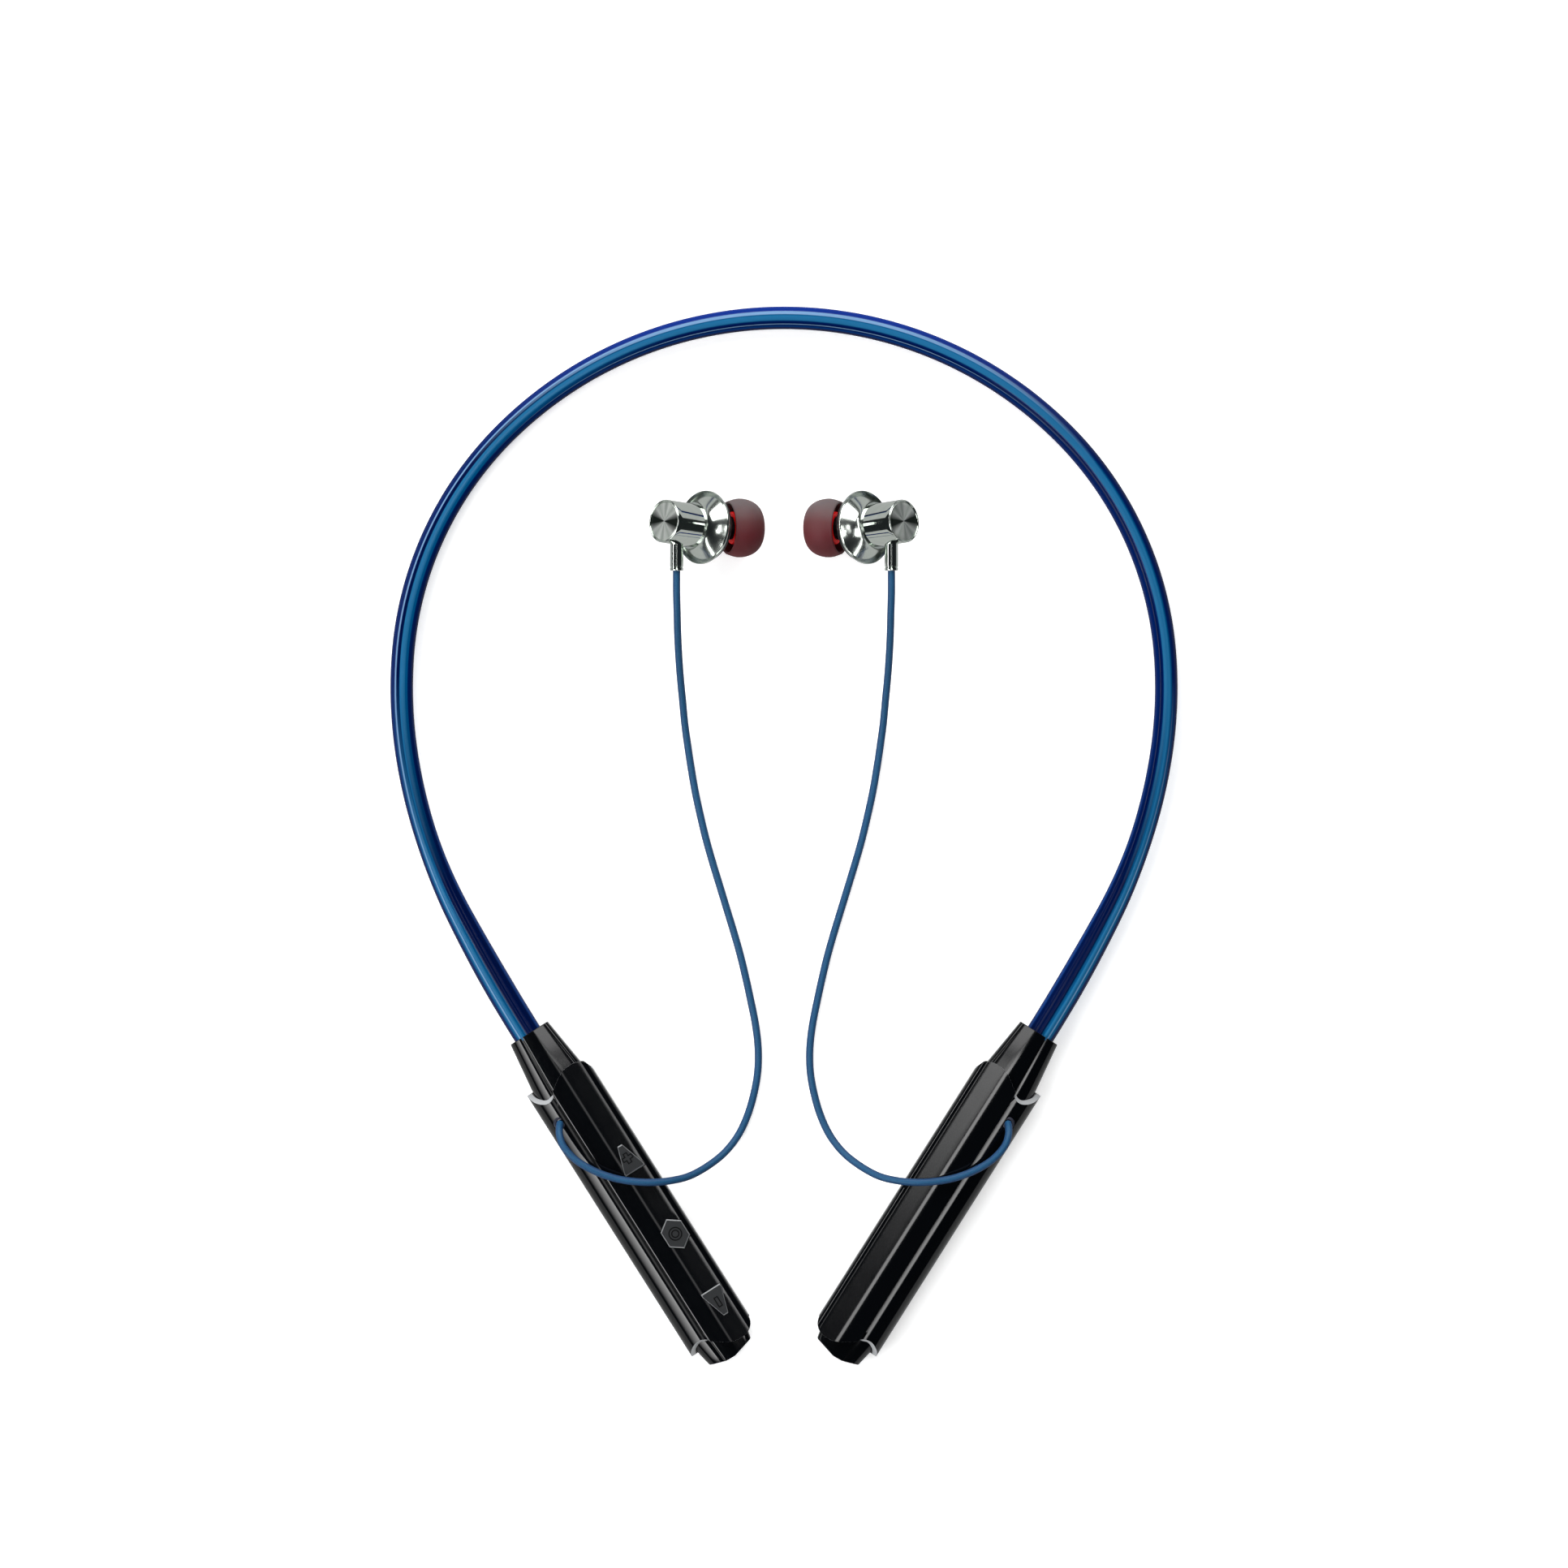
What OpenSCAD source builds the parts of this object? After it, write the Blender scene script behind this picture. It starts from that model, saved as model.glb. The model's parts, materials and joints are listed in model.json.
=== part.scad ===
// Neckband earphones lying flat: an elastic band, two pods, and two earbuds on free cables.
// Millimetres. +Z up, X across the band, +Y from the pods to the crown, floor at z = 0.

/* [Band] */
// Radius of the band's sleeve at the crown and along the sides
band_r = 2.25; // [2:0.05:2.4]
// Radius of the sleeve where it enters a collar
band_end_r = 2.9; // [2.6:0.05:2.9]
// Furthest that each arm springs outwards, in degrees
arm_open = 15; // [5:1:18]

/* [Pods] */
// Thickness of a pod
pod_h = 10; // [10:0.1:11]
// Width of a pod
pod_w = 13.9; // [13.7:0.1:14.4]
// Length of the glossy shell along its short side
shell_l = 56.3; // [56:0.1:57]
// Wall of the pod's shell and tray
pod_wall = 1; // [0.8:0.1:1]
// Travel of each push button
button_travel = 0.3; // [0.2:0.05:0.3]

/* [Earbuds] */
// Radius of an earbud's barrel
barrel_r = 4.27; // [4.2:0.01:4.4]
// Radius of the rolled rim of the rear housing
rim_r = 7.3; // [7.1:0.1:7.4]
// Radius of an ear tip
tip_r = 5.8; // [5.5:0.1:5.8]
// Diameter of an earbud's cable
cable_d = 1.45; // [1.3:0.05:1.5]

/* [Hidden] */
$fn = 64;

gap = 0.1;             // clearance between two pieces that fit into each other
tiny = 0.01;           // overlap that keeps a cut from leaving a skin

// The band's centre line, from the crown outwards, as arcs of [radius, degrees turned].
band_arcs = [[78, 45], [69, 41], [87, 12.5], [102, 19], [330, 4.8]];
crown_y = 102.3;
flex_heading = 18;     // where each arm's flex hinge stands along the first arc
ring_step = 6;         // length of band between two rings of its skin
band_sides = 16;
lumen_r = 1.35;        // bore of the sleeve
wire_r = 0.5;
wire_offset = 0.6;
conductor_r = 0.35;
conductor_offset = -0.65;
inward_relief = 3;     // degrees that the inner side of a split is cut back
pod_angle = 32.3;      // between a pod's axis and the Y axis
pod_end = [-43.7, -49.2];   // middle of the left shell's end that faces the band
collar_l = 12.3;
band_into_collar = 3;
collar_z = pod_h / 2;
flare_from_y = 2;      // the sleeve starts to widen here
flare_length = 34;

// Pod section: x across (outer edge negative), z up.
half_w = pod_w / 2;
lobe_r = 4.3;
lobe_x = lobe_r - half_w;
lobe_z = 4.4;
valley_r = 2.6;
valley_x = -2.6;
valley_z = pod_h + 1.2;
edge_r = 1.2;
belly_r = 2.5;
split_z = 2;           // height of the seam between the tray and the shell
pod_span = [10, -70];  // a stretch along the pod that reaches past both ends
shell_start = -0.8;    // the shell's straight part starts here
tongue_l = 3.5;
tongue_r = 3;
collar_near = -4;      // the collar's and the end cap's ends inside the shell
cap_near = -55.6;
cap_far = -62.35;
side_hole_z = 5.4;     // height of the lamp's and the microphone's holes
lamp_y = -41;
microphone_y = -10;
board_ends = [-8, -54];
board_x = 0.7;
board_w = 8.8;
board_top = 5.8;
board_t = 0.8;
button_x = 3.4;
button_ys = [-18.8, -36.4, -52.2];
button_proud = 0.35;
switch_top = board_top + 1.6;
socket_y = -46.5;
socket_w = 7.6;
socket_h = 2.6;
socket_z = split_z + 0.4;
grommet_at = [-4.25, -5.9];
grommet_r = 1.25;
grommet_z = 6.4;
grommet_h = 2.2;
lamp_r = 0.55;

// Earbud: the body axis runs from the end disc, down and inwards, to the rim.
disc_at = [-23.6, 61.9, 15.6];
body_tilt = 133.2;
body_yaw = -8;
nozzle_tilt = 110;
barrel_l = 8;
rim_s = 11.2;
stem_s = 3.47;
stem_r = 1.31;
stem_end_y = 52.2;
tip_back = 4.9;
tip_front = 11.4;
nozzle_r = 2.3;
nozzle_bore = 1.7;
nozzle_end = 10.4;
tip_fit = 0.05;

function direction(tilt, yaw) = [sin(tilt) * cos(yaw), sin(tilt) * sin(yaw), cos(tilt)];
body_axis = direction(body_tilt, body_yaw);
rim_at = disc_at + rim_s * body_axis;
stem_at = disc_at + stem_s * body_axis;

// Route of the left cable, from the pod's outlet to the earbud's stem.
cable_route = [
    [-44.1, -56.5, 8.6], [-44.2, -57.4, 9.8], [-44.1, -58.9, 10.9], [-43.3, -61, 11.5],
    [-40.9, -63.6, 11.6], [-37.4, -65.7, 11.6], [-33.6, -67.1, 11.6], [-29.8, -67.8, 11.6],
    [-25.9, -68, 11.3], [-22.2, -67.7, 10.1], [-18.7, -66.9, 8.1], [-15.2, -65.1, 5.5],
    [-11.9, -62.6, 3.2], [-9.2, -59.3, 1.6], [-7.3, -55.4, 0.9], [-6, -51.1, 0.75],
    [-5.2, -46.6, 0.75], [-5.1, -42, 0.75], [-5.6, -37.4, 0.75], [-6.5, -32.8, 0.75],
    [-7.5, -28.2, 0.75], [-8.6, -23.6, 0.75], [-9.9, -19, 0.75], [-11.3, -14.4, 0.75],
    [-12.7, -9.8, 0.75], [-14.1, -5.2, 0.75], [-15.4, -0.6, 0.75], [-16.5, 4, 0.75],
    [-17.5, 8.6, 0.75], [-18.3, 13.2, 0.85], [-19, 17.8, 1.2], [-19.6, 22.3, 2.2],
    [-20, 26.7, 3.8], [-20.4, 31, 5.8], [-20.7, 35.3, 8.1], [-20.9, 39.6, 10.3],
    [-21, 43.9, 12.1], [-21.1, 48.1, 13.05], [stem_at[0], stem_end_y, stem_at[2]]
];

// ---- the band's centre line ----

function turned(heading) = [sin(heading), -cos(heading)];
function along_arc(from, heading, radius, angle) =
    from + radius * (turned(heading) - turned(heading + angle));
function arc_heading(i) = i == 0 ? 0 : arc_heading(i - 1) + band_arcs[i - 1][1];
function arc_start(i) = i == 0 ? [0, crown_y]
    : along_arc(arc_start(i - 1), arc_heading(i - 1), band_arcs[i - 1][0], band_arcs[i - 1][1]);

pod_heading = 90 + pod_angle;
band_mouth = arc_start(len(band_arcs));
mouth_x = (band_mouth - pod_end) * [cos(pod_angle), sin(pod_angle)];
mouth_y = (band_mouth - pod_end) * [-sin(pod_angle), cos(pod_angle)];
band_slope = (collar_z - band_r) / (crown_y - band_mouth[1]);
function band_z(y) = band_r + (crown_y - y) * band_slope;
function smooth(t) = let (c = min(max(t, 0), 1)) c * c * (3 - 2 * c);
function sleeve_r(y) = band_r + (band_end_r - band_r) * smooth((flare_from_y - y) / flare_length);

// One ring of the band is [x, y, heading].
function first_arc_ring(heading) =
    let (p = along_arc([0, crown_y], 0, band_arcs[0][0], heading)) [p[0], p[1], heading];
function arc_rings(i, begin) =
    let (radius = band_arcs[i][0],
         angle = band_arcs[i][1] - begin,
         count = ceil(radius * angle * PI / 180 / ring_step),
         start = along_arc(arc_start(i), arc_heading(i), radius, begin),
         heading = arc_heading(i) + begin)
    [for (k = [0 : count - 1])
        let (p = along_arc(start, heading, radius, angle * k / count))
        [p[0], p[1], heading + angle * k / count]];
function mouth_ring(beyond) =
    [band_mouth[0] - beyond * cos(pod_heading), band_mouth[1] - beyond * sin(pod_heading), pod_heading];

crown_rings = [for (k = [-4 : 4]) first_arc_ring(flex_heading * k / 4)];
arm_rings = concat(
    arc_rings(0, flex_heading),
    [for (i = [1 : len(band_arcs) - 1]) each arc_rings(i, 0)],
    [mouth_ring(0), mouth_ring(band_into_collar)]);

// ---- a tube swept along rings of [centre, side direction, up direction, radius] ----

module sweep(rings, sides) {
    last = len(rings) - 1;
    points = [for (ring = rings, k = [0 : sides - 1])
        ring[0] + ring[3] * (cos(360 * k / sides) * ring[1] + sin(360 * k / sides) * ring[2])];
    walls = [for (i = [0 : last - 1], k = [0 : sides - 1])
        let (a = i * sides + k, b = i * sides + (k + 1) % sides)
        each [[a, b, a + sides], [b, b + sides, a + sides]]];
    ends = [[for (k = [sides - 1 : -1 : 0]) k], [for (k = [0 : sides - 1]) last * sides + k]];
    polyhedron(points, concat(walls, ends), convexity = 8);
}

function band_frame(ring, offset, radius) =
    let (side = [sin(ring[2]), -cos(ring[2]), 0])
    [[ring[0], ring[1], band_z(ring[1])] + offset * side, side, [0, 0, 1], radius];

module band_tube(rings, offset, radius, sides) {
    sweep([for (ring = rings) band_frame(ring, offset, radius)], sides);
}

// A sleeve with an open bore: outer skin, bore skin and a flat ring at each end.
module hollow_sleeve(rings) {
    n = band_sides;
    last = len(rings) - 1;
    bore = len(rings) * n;
    function ring_points(ring, radius) =
        let (f = band_frame(ring, 0, radius))
        [for (k = [0 : n - 1]) f[0] + radius * (cos(360 * k / n) * f[1] + sin(360 * k / n) * f[2])];
    points = concat(
        [for (ring = rings) each ring_points(ring, sleeve_r(ring[1]))],
        [for (ring = rings) each ring_points(ring, lumen_r)]);
    skins = [for (i = [0 : last - 1], k = [0 : n - 1])
        let (a = i * n + k, b = i * n + (k + 1) % n)
        each [[a, b, a + n], [b, b + n, a + n],
              [bore + b, bore + a, bore + a + n], [bore + b + n, bore + b, bore + a + n]]];
    rims = [for (k = [0 : n - 1])
        let (a = k, b = (k + 1) % n, end = last * n)
        each [[b, a, bore + a], [bore + b, b, bore + a],
              [end + a, end + b, bore + end + a], [end + b, bore + end + b, bore + end + a]]];
    polyhedron(points, concat(skins, rims), convexity = 8);
}

// The arm's end at the flex hinge is cut back so that the arm can swing without meeting the crown.
module arm_relief() {
    flex = first_arc_ring(flex_heading);
    reach = 10;
    translate([flex[0], flex[1], -reach / 2]) rotate(180 + flex_heading)
        linear_extrude(2 * reach)
            polygon([
                [0, 0],
                [reach * sin(inward_relief), reach * cos(inward_relief)],
                [-reach, reach],
                [-reach, -reach],
                [reach * sin(arm_open + 1), -reach * cos(arm_open + 1)]
            ]);
}

module on_side(side) {
    mirror([side > 0 ? 1 : 0, 0, 0]) children();
}

module crown_sleeve() {
    color("royalblue")
        hollow_sleeve(crown_rings);
}

module crown_spring_wire() { color("silver") band_tube(crown_rings, wire_offset, wire_r, 8); }
module crown_conductors() { color("orange") band_tube(crown_rings, conductor_offset, conductor_r, 8); }

module band_sleeve(side) {
    color("mediumblue") on_side(side) difference() {
        hollow_sleeve(arm_rings);
        arm_relief();
    }
}

module spring_wire(side) {
    color("silver") on_side(side) difference() {
        band_tube(arm_rings, wire_offset, wire_r, 8);
        arm_relief();
    }
}

module conductors(side) {
    color("orange") on_side(side) difference() {
        band_tube(arm_rings, conductor_offset, conductor_r, 8);
        arm_relief();
    }
}

// ---- the pods ----

// The pod's own frame: x across towards the inner edge, y towards the band, origin at the shell's end.
module on_pod(side) {
    on_side(side) translate([pod_end[0], pod_end[1], 0]) rotate(pod_angle) children();
}

module along_pod(from_y, to_y) {
    translate([0, from_y, 0]) rotate([90, 0, 0]) linear_extrude(from_y - to_y) children();
}

// A rectangle with its own corner radii on the right: lower first, then upper.
module right_rounded(left, right, bottom, top, lower_r, upper_r) {
    translate([left, bottom]) square([right - left - lower_r, top - bottom]);
    translate([left, bottom + lower_r]) square([right - left, top - bottom - lower_r - upper_r]);
    translate([right - lower_r, bottom + lower_r]) circle(lower_r);
    translate([left, top - upper_r - tiny]) square([right - left - upper_r, upper_r + tiny]);
    translate([right - upper_r, top - upper_r]) circle(upper_r);
}

// Outline of the pod's section, shrunk by a wall: round outer lobe, valley, ridge and flat face.
module pod_section(wall) {
    difference() {
        union() {
            translate([lobe_x, lobe_z]) circle(lobe_r - wall);
            right_rounded(lobe_x, half_w - wall, wall, pod_h - wall,
                          belly_r - wall, max(edge_r - wall, tiny));
        }
        translate([valley_x, valley_z]) circle(valley_r + wall);
        translate([-half_w, valley_z - valley_r + tiny]) square([half_w + valley_x, pod_h]);
    }
}

// How far the shell's end reaches past its straight part, at a place across the pod.
function end_wave(x) =
    let (corner = max(x - (half_w - tongue_r), 0))
    tongue_l * smooth((x + 5) / 8) - tongue_r + sqrt(tongue_r * tongue_r - corner * corner);

module shell_plan() {
    steps = 16;
    xs = [for (k = [0 : steps]) -half_w + k * pod_w / steps];
    polygon(concat(
        [for (x = xs) [x, shell_start + end_wave(x)]],
        [for (k = [steps : -1 : 0]) [xs[k], shell_start - shell_l - end_wave(xs[k])]]));
}

module pod_walls() {
    along_pod(pod_span[0], pod_span[1]) difference() {
        pod_section(0);
        pod_section(pod_wall);
    }
}

module triangle_face(grow) {
    half = 2.2 + grow;
    long = 5.8 + 2 * grow;
    clip = 0.5;
    polygon([
        [-half, -long / 2], [half, -long / 2], [half, -long / 2 + clip],
        [clip, long / 2], [-clip, long / 2], [-half, -long / 2 + clip]
    ]);
}

module hexagon_face(grow) {
    half = 2.35 + grow;
    long = 6.7 + 2 * grow;
    polygon([
        [0, long / 2], [half, long / 4], [half, -long / 4],
        [0, -long / 2], [-half, -long / 4], [-half, long / 4]
    ]);
}

module button_face(index, grow) {
    if (index == 0) triangle_face(grow);
    if (index == 1) hexagon_face(grow);
    if (index == 2) rotate(180) triangle_face(grow);
}

module at_button(index) {
    translate([button_x, button_ys[index], 0]) children();
}

// A hole through the shell's inner side.
module side_hole(y, radius) {
    translate([half_w - 2 * pod_wall, y, side_hole_z]) rotate([0, 90, 0]) cylinder(r = radius, h = 3);
}

module shell(side) {
    color("black") on_pod(side) difference() {
        intersection() {
            pod_walls();
            translate([0, 0, split_z]) linear_extrude(pod_h) shell_plan();
        }
        if (side < 0) {
            for (i = [0 : 2])
                at_button(i) translate([0, 0, pod_h - 2 * pod_wall]) linear_extrude(3) button_face(i, gap);
            translate([half_w - 2 * pod_wall, socket_y - socket_w / 2 - gap, socket_z - gap])
                cube([3, socket_w + 2 * gap, socket_h + 2 * gap]);
            side_hole(lamp_y, lamp_r + gap / 2);
            side_hole(microphone_y, 0.5);
        }
        translate([grommet_at[0], grommet_at[1], pod_h / 2]) cylinder(r = grommet_r + gap / 2, h = pod_h);
    }
}

module tray(side) {
    color("dimgray") on_pod(side) intersection() {
        difference() {
            along_pod(pod_span[0], pod_span[1]) pod_section(0);
            along_pod(pod_span[0] + 1, pod_span[1] - 1) pod_section(pod_wall);
        }
        linear_extrude(split_z) shell_plan();
    }
}

// Two bars that follow the lobe and the flat face, each tapering from inside the shell to its far end.
module tapered_bars(near_y, far_y, far_scale, far_h) {
    thin = 0.1;
    fit = pod_wall + gap;
    right = half_w - fit;
    ridge_x = 1.4;
    far_left = -0.8;
    far_r = 2.6;
    hull() {
        along_pod(near_y, near_y - thin)
            translate([lobe_x, lobe_z]) circle(lobe_r - fit - gap, $fn = 32);
        along_pod(far_y, far_y - thin)
            translate([far_r - right * far_scale, collar_z - 0.4]) circle(far_r, $fn = 32);
    }
    hull() {
        along_pod(near_y, near_y - thin)
            right_rounded(ridge_x, right, fit, pod_h - fit, belly_r - pod_wall, 0.3, $fn = 32);
        along_pod(far_y, far_y - thin)
            right_rounded(far_left, right * far_scale, collar_z - far_h / 2, collar_z + far_h / 2,
                          1.5, 1, $fn = 32);
    }
    // A core that fills the space between the bars.
    hull() {
        along_pod(near_y, near_y - thin)
            right_rounded(lobe_x, right, 2, 6.8, 0.5, 0.3, $fn = 32);
        along_pod(far_y, far_y - thin)
            right_rounded(far_left, right * far_scale, 2.4, 6.8, 0.5, 0.3, $fn = 32);
    }
}

module collar(side) {
    core_r = 2;
    depth = mouth_y - band_into_collar - gap;
    color("black") on_pod(side) difference() {
        tapered_bars(collar_near, collar_l, 0.74, 7.2);
        along_pod(collar_l + 1, depth) translate([mouth_x, collar_z]) circle(band_end_r + gap / 2);
        along_pod(collar_l - 1, pod_span[1]) translate([mouth_x, collar_z]) circle(core_r);
    }
}

module end_cap(side) {
    color("black") on_pod(side) tapered_bars(cap_near, cap_far, 0.83, 7);
}

module cable_grommet(side) {
    color("midnightblue") on_pod(side) translate([grommet_at[0], grommet_at[1], 0]) difference() {
        translate([0, 0, grommet_z]) cylinder(r = grommet_r, h = grommet_h);
        translate([0, 0, grommet_z - 1]) cylinder(r = cable_d / 2 + 0.03, h = grommet_h + 2);
    }
}

module push_button(index) {
    top = pod_h + button_proud;
    skirt_z = pod_h - pod_wall - 0.8;
    stop_w = 3;
    stop_l = 6.6;
    stop_h = 0.7;
    color("darkslategray") on_pod(-1) at_button(index) {
        translate([0, 0, skirt_z]) linear_extrude(top - skirt_z - 0.15) button_face(index, 0);
        translate([0, 0, skirt_z]) linear_extrude(top - skirt_z) button_face(index, -0.25);
        translate([-stop_w / 2, -stop_l / 2, skirt_z]) cube([stop_w, stop_l, stop_h]);
        translate([0, 0, switch_top + button_travel + 0.05]) cylinder(r = 0.8, h = skirt_z - switch_top);
    }
}

module main_board() {
    color("darkgreen") on_pod(-1)
        translate([board_x - board_w / 2, board_ends[1], board_top - board_t])
            cube([board_w, board_ends[0] - board_ends[1], board_t]);
}

module radio_chip() {
    color("dimgray") on_pod(-1) translate([-2.8, -32, board_top - board_t - 1]) cube([6, 6, 1]);
}

module dome_switches() {
    color("gold") on_pod(-1) for (i = [0 : 2]) {
        translate([button_x - 1.7, button_ys[i] - 1.7, board_top]) cube([3.4, 3.4, 1]);
        translate([button_x, button_ys[i], board_top + 1]) cylinder(r = 1.1, h = switch_top - board_top - 1);
    }
}

module charging_socket() {
    color("silver") on_pod(-1)
        translate([half_w - 6, socket_y - socket_w / 2, socket_z]) difference() {
            cube([5.8, socket_w, socket_h]);
            translate([0.5, 0.4, 0.4]) cube([6, socket_w - 0.8, socket_h - 0.8]);
        }
}

module microphone() {
    color("goldenrod") on_pod(-1) translate([2.2, microphone_y - 1.5, board_top]) cube([2.8, 3, 1]);
}

// A short light pipe in the shell's side.
module status_light() {
    length = 1.7;
    color("white") on_pod(-1)
        translate([half_w - gap - length, lamp_y, side_hole_z]) rotate([0, 90, 0])
            cylinder(r = lamp_r, h = length);
}

module battery() {
    color("silver") on_pod(1) translate([-4, -50, 2.4]) cube([9, 40, 4]);
}

module battery_board() {
    color("darkgreen") on_pod(1) translate([-3.4, -9.4, 3]) cube([8, 3.8, 0.8]);
}

// ---- cables ----

function cable_tangent(i) =
    let (a = cable_route[max(i - 1, 0)], b = cable_route[min(i + 1, len(cable_route) - 1)])
    (b - a) / norm(b - a);
function cable_frame(i) =
    let (t = i == len(cable_route) - 1 ? [0, 1, 0] : cable_tangent(i),
         side = cross(t, [0, 0, 1]) / norm(cross(t, [0, 0, 1])))
    [cable_route[i], side, cross(side, t), cable_d / 2];

module cable(side) {
    color("steelblue") on_side(side) sweep([for (i = [0 : len(cable_route) - 1]) cable_frame(i)], 8);
}

// ---- the earbuds ----

// Body frame: z from the end disc towards the rim.
module on_body(side) {
    on_side(side) translate(disc_at) rotate([0, body_tilt, body_yaw]) children();
}

// Nozzle frame: z out along the nozzle, origin at the middle of the rim.
module on_nozzle(side) {
    on_side(side) translate(rim_at) rotate([0, nozzle_tilt, 0]) children();
}

module ring(outer, inner, from, to) {
    translate([0, 0, from]) difference() {
        cylinder(r = outer, h = to - from);
        translate([0, 0, -1]) cylinder(r = inner, h = to - from + 2);
    }
}

module barrel(side) {
    wall = 0.8;
    color("lightgray") difference() {
        on_body(side) difference() {
            cylinder(r = barrel_r, h = barrel_l);
            translate([0, 0, -tiny]) cylinder(r = barrel_r - 0.4, h = 1);
            translate([0, 0, 0.5]) cylinder(r = barrel_r - wall, h = barrel_l);
        }
        on_side(side) translate([stem_at[0], stem_at[1], stem_at[2]])
            rotate([90, 0, 0]) cylinder(r = stem_r + 0.02, h = 10);
    }
}

module end_disc(side) {
    color("silver") on_body(side) translate([0, 0, 0.1]) cylinder(r = barrel_r - 0.42, h = 0.85);
}

module dock_magnet(side) {
    color("dimgray") on_body(side) translate([0, 0, 0.97]) cylinder(r = 2.9, h = 0.8);
}

module stem(side) {
    color("gray") on_side(side) translate([stem_at[0], stem_end_y, stem_at[2]])
        rotate([-90, 0, 0]) cylinder(r = stem_r, h = stem_at[1] - 3.6 - stem_end_y);
}

// The bell flares from the barrel to a rolled rim.
function bell_r(t) = barrel_r + (rim_r - 0.35 - barrel_r) * pow(t, 1.7);

module rear_housing(side) {
    from = 7.4;
    length = rim_s - from - 0.1;
    wall = 0.8;
    steps = 8;
    color("lightgray") on_body(side) {
        translate([0, 0, from]) difference() {
            rotate_extrude() polygon(concat(
                [for (k = [0 : steps]) [bell_r(k / steps) + 0.35 * (1 - k / steps), length * k / steps]],
                [for (k = [steps : -1 : 0]) [bell_r(k / steps) - wall, length * k / steps]]));
            translate([0, 0, -1]) cylinder(r = barrel_r + 0.01, h = barrel_l - from + 1 + tiny);
        }
        translate([0, 0, rim_s - 0.5]) rotate_extrude() translate([rim_r - 0.55, 0]) circle(0.55);
    }
}

module front_housing(side) {
    wall = 0.7;
    color("black") {
        difference() {
            union() {
                on_body(side) translate([0, 0, rim_s + 0.1]) rotate_extrude() polygon([
                    [0, 0], [6.6, 0], [6.6, 0.8], [6, 1.4], [4.6, 2.1], [0, 2.6]]);
                on_nozzle(side) translate([0, 0, 1]) cylinder(r = nozzle_r, h = nozzle_end - 1);
            }
            on_nozzle(side) cylinder(r = nozzle_bore, h = nozzle_end + 1);
            on_body(side) translate([0, 0, rim_s]) rotate_extrude() polygon([
                [0, -1], [6.6 - wall, -1], [6.6 - wall, 0.8], [4.4, 1.4], [0, 1.8]]);
        }
    }
}

module driver_frame(side) {
    color("dimgray") on_body(side) ring(4.6, 4, rim_s - 1.3, rim_s + 0.4);
}

module driver_magnet(side) {
    color("gray") on_body(side) translate([0, 0, rim_s - 1.7]) cylinder(r = 2.4, h = 1.2);
}

module voice_coil(side) {
    color("chocolate") on_body(side) ring(2.9, 2.6, rim_s - 1.3, rim_s + 0.38);
}

module diaphragm(side) {
    color("khaki") on_body(side) translate([0, 0, rim_s + 0.4]) cylinder(r = 4.6, h = 0.12);
}

module nozzle_mesh(side) {
    color("silver") on_nozzle(side) translate([0, 0, nozzle_end - 0.5]) cylinder(r = nozzle_bore, h = 0.3);
}

module tip_core(side) {
    color("red") on_nozzle(side) ring(3.2, nozzle_r + tip_fit, tip_back + 0.5, tip_front - 1.6);
}

// Umbrella of the ear tip: a half dome with an open back.
module tip_skirt(side) {
    wall = 0.6;
    widest = 2.2;
    dome = tip_front - tip_back - widest;
    steps = 10;
    back_r = tip_r - 0.5;
    outer = [for (k = [0 : steps]) let (a = 90 * k / steps)
        [3.2 + (tip_r - 3.2) * cos(a), widest + dome * sin(a)]];
    inner = [for (k = [steps : -1 : 0]) let (a = 90 * k / steps)
        [3.2 + (tip_r - wall - 3.2) * cos(a), widest + (dome - wall) * sin(a)]];
    color([0.45, 0.3, 0.3]) on_nozzle(side) translate([0, 0, tip_back]) rotate_extrude()
        polygon(concat(
            [[back_r - wall, 0], [back_r, 0]],
            outer,
            [[3.2, widest + dome - wall - 1.2]],
            inner));
}

crown_sleeve();
crown_spring_wire();
crown_conductors();
band_sleeve(-1);  // left_band_sleeve
spring_wire(-1);  // left_spring_wire
conductors(-1);  // left_conductors
band_sleeve(1);  // right_band_sleeve
spring_wire(1);  // right_spring_wire
conductors(1);  // right_conductors
collar(-1);  // left_collar
shell(-1);  // left_shell
tray(-1);  // left_tray
end_cap(-1);  // left_end_cap
cable_grommet(-1);  // left_cable_grommet
cable(-1);  // left_cable
collar(1);  // right_collar
shell(1);  // right_shell
tray(1);  // right_tray
end_cap(1);  // right_end_cap
cable_grommet(1);  // right_cable_grommet
cable(1);  // right_cable
push_button(0);  // plus_button
push_button(1);  // power_button
push_button(2);  // minus_button
main_board();
radio_chip();
dome_switches();
charging_socket();
microphone();
status_light();
battery();
battery_board();
barrel(-1);  // left_barrel
end_disc(-1);  // left_end_disc
dock_magnet(-1);  // left_dock_magnet
stem(-1);  // left_stem
rear_housing(-1);  // left_rear_housing
front_housing(-1);  // left_front_housing
driver_frame(-1);  // left_driver_frame
driver_magnet(-1);  // left_driver_magnet
voice_coil(-1);  // left_voice_coil
diaphragm(-1);  // left_diaphragm
nozzle_mesh(-1);  // left_nozzle_mesh
tip_core(-1);  // left_tip_core
tip_skirt(-1);  // left_tip_skirt
barrel(1);  // right_barrel
end_disc(1);  // right_end_disc
dock_magnet(1);  // right_dock_magnet
stem(1);  // right_stem
rear_housing(1);  // right_rear_housing
front_housing(1);  // right_front_housing
driver_frame(1);  // right_driver_frame
driver_magnet(1);  // right_driver_magnet
voice_coil(1);  // right_voice_coil
diaphragm(1);  // right_diaphragm
nozzle_mesh(1);  // right_nozzle_mesh
tip_core(1);  // right_tip_core
tip_skirt(1);  // right_tip_skirt
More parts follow.
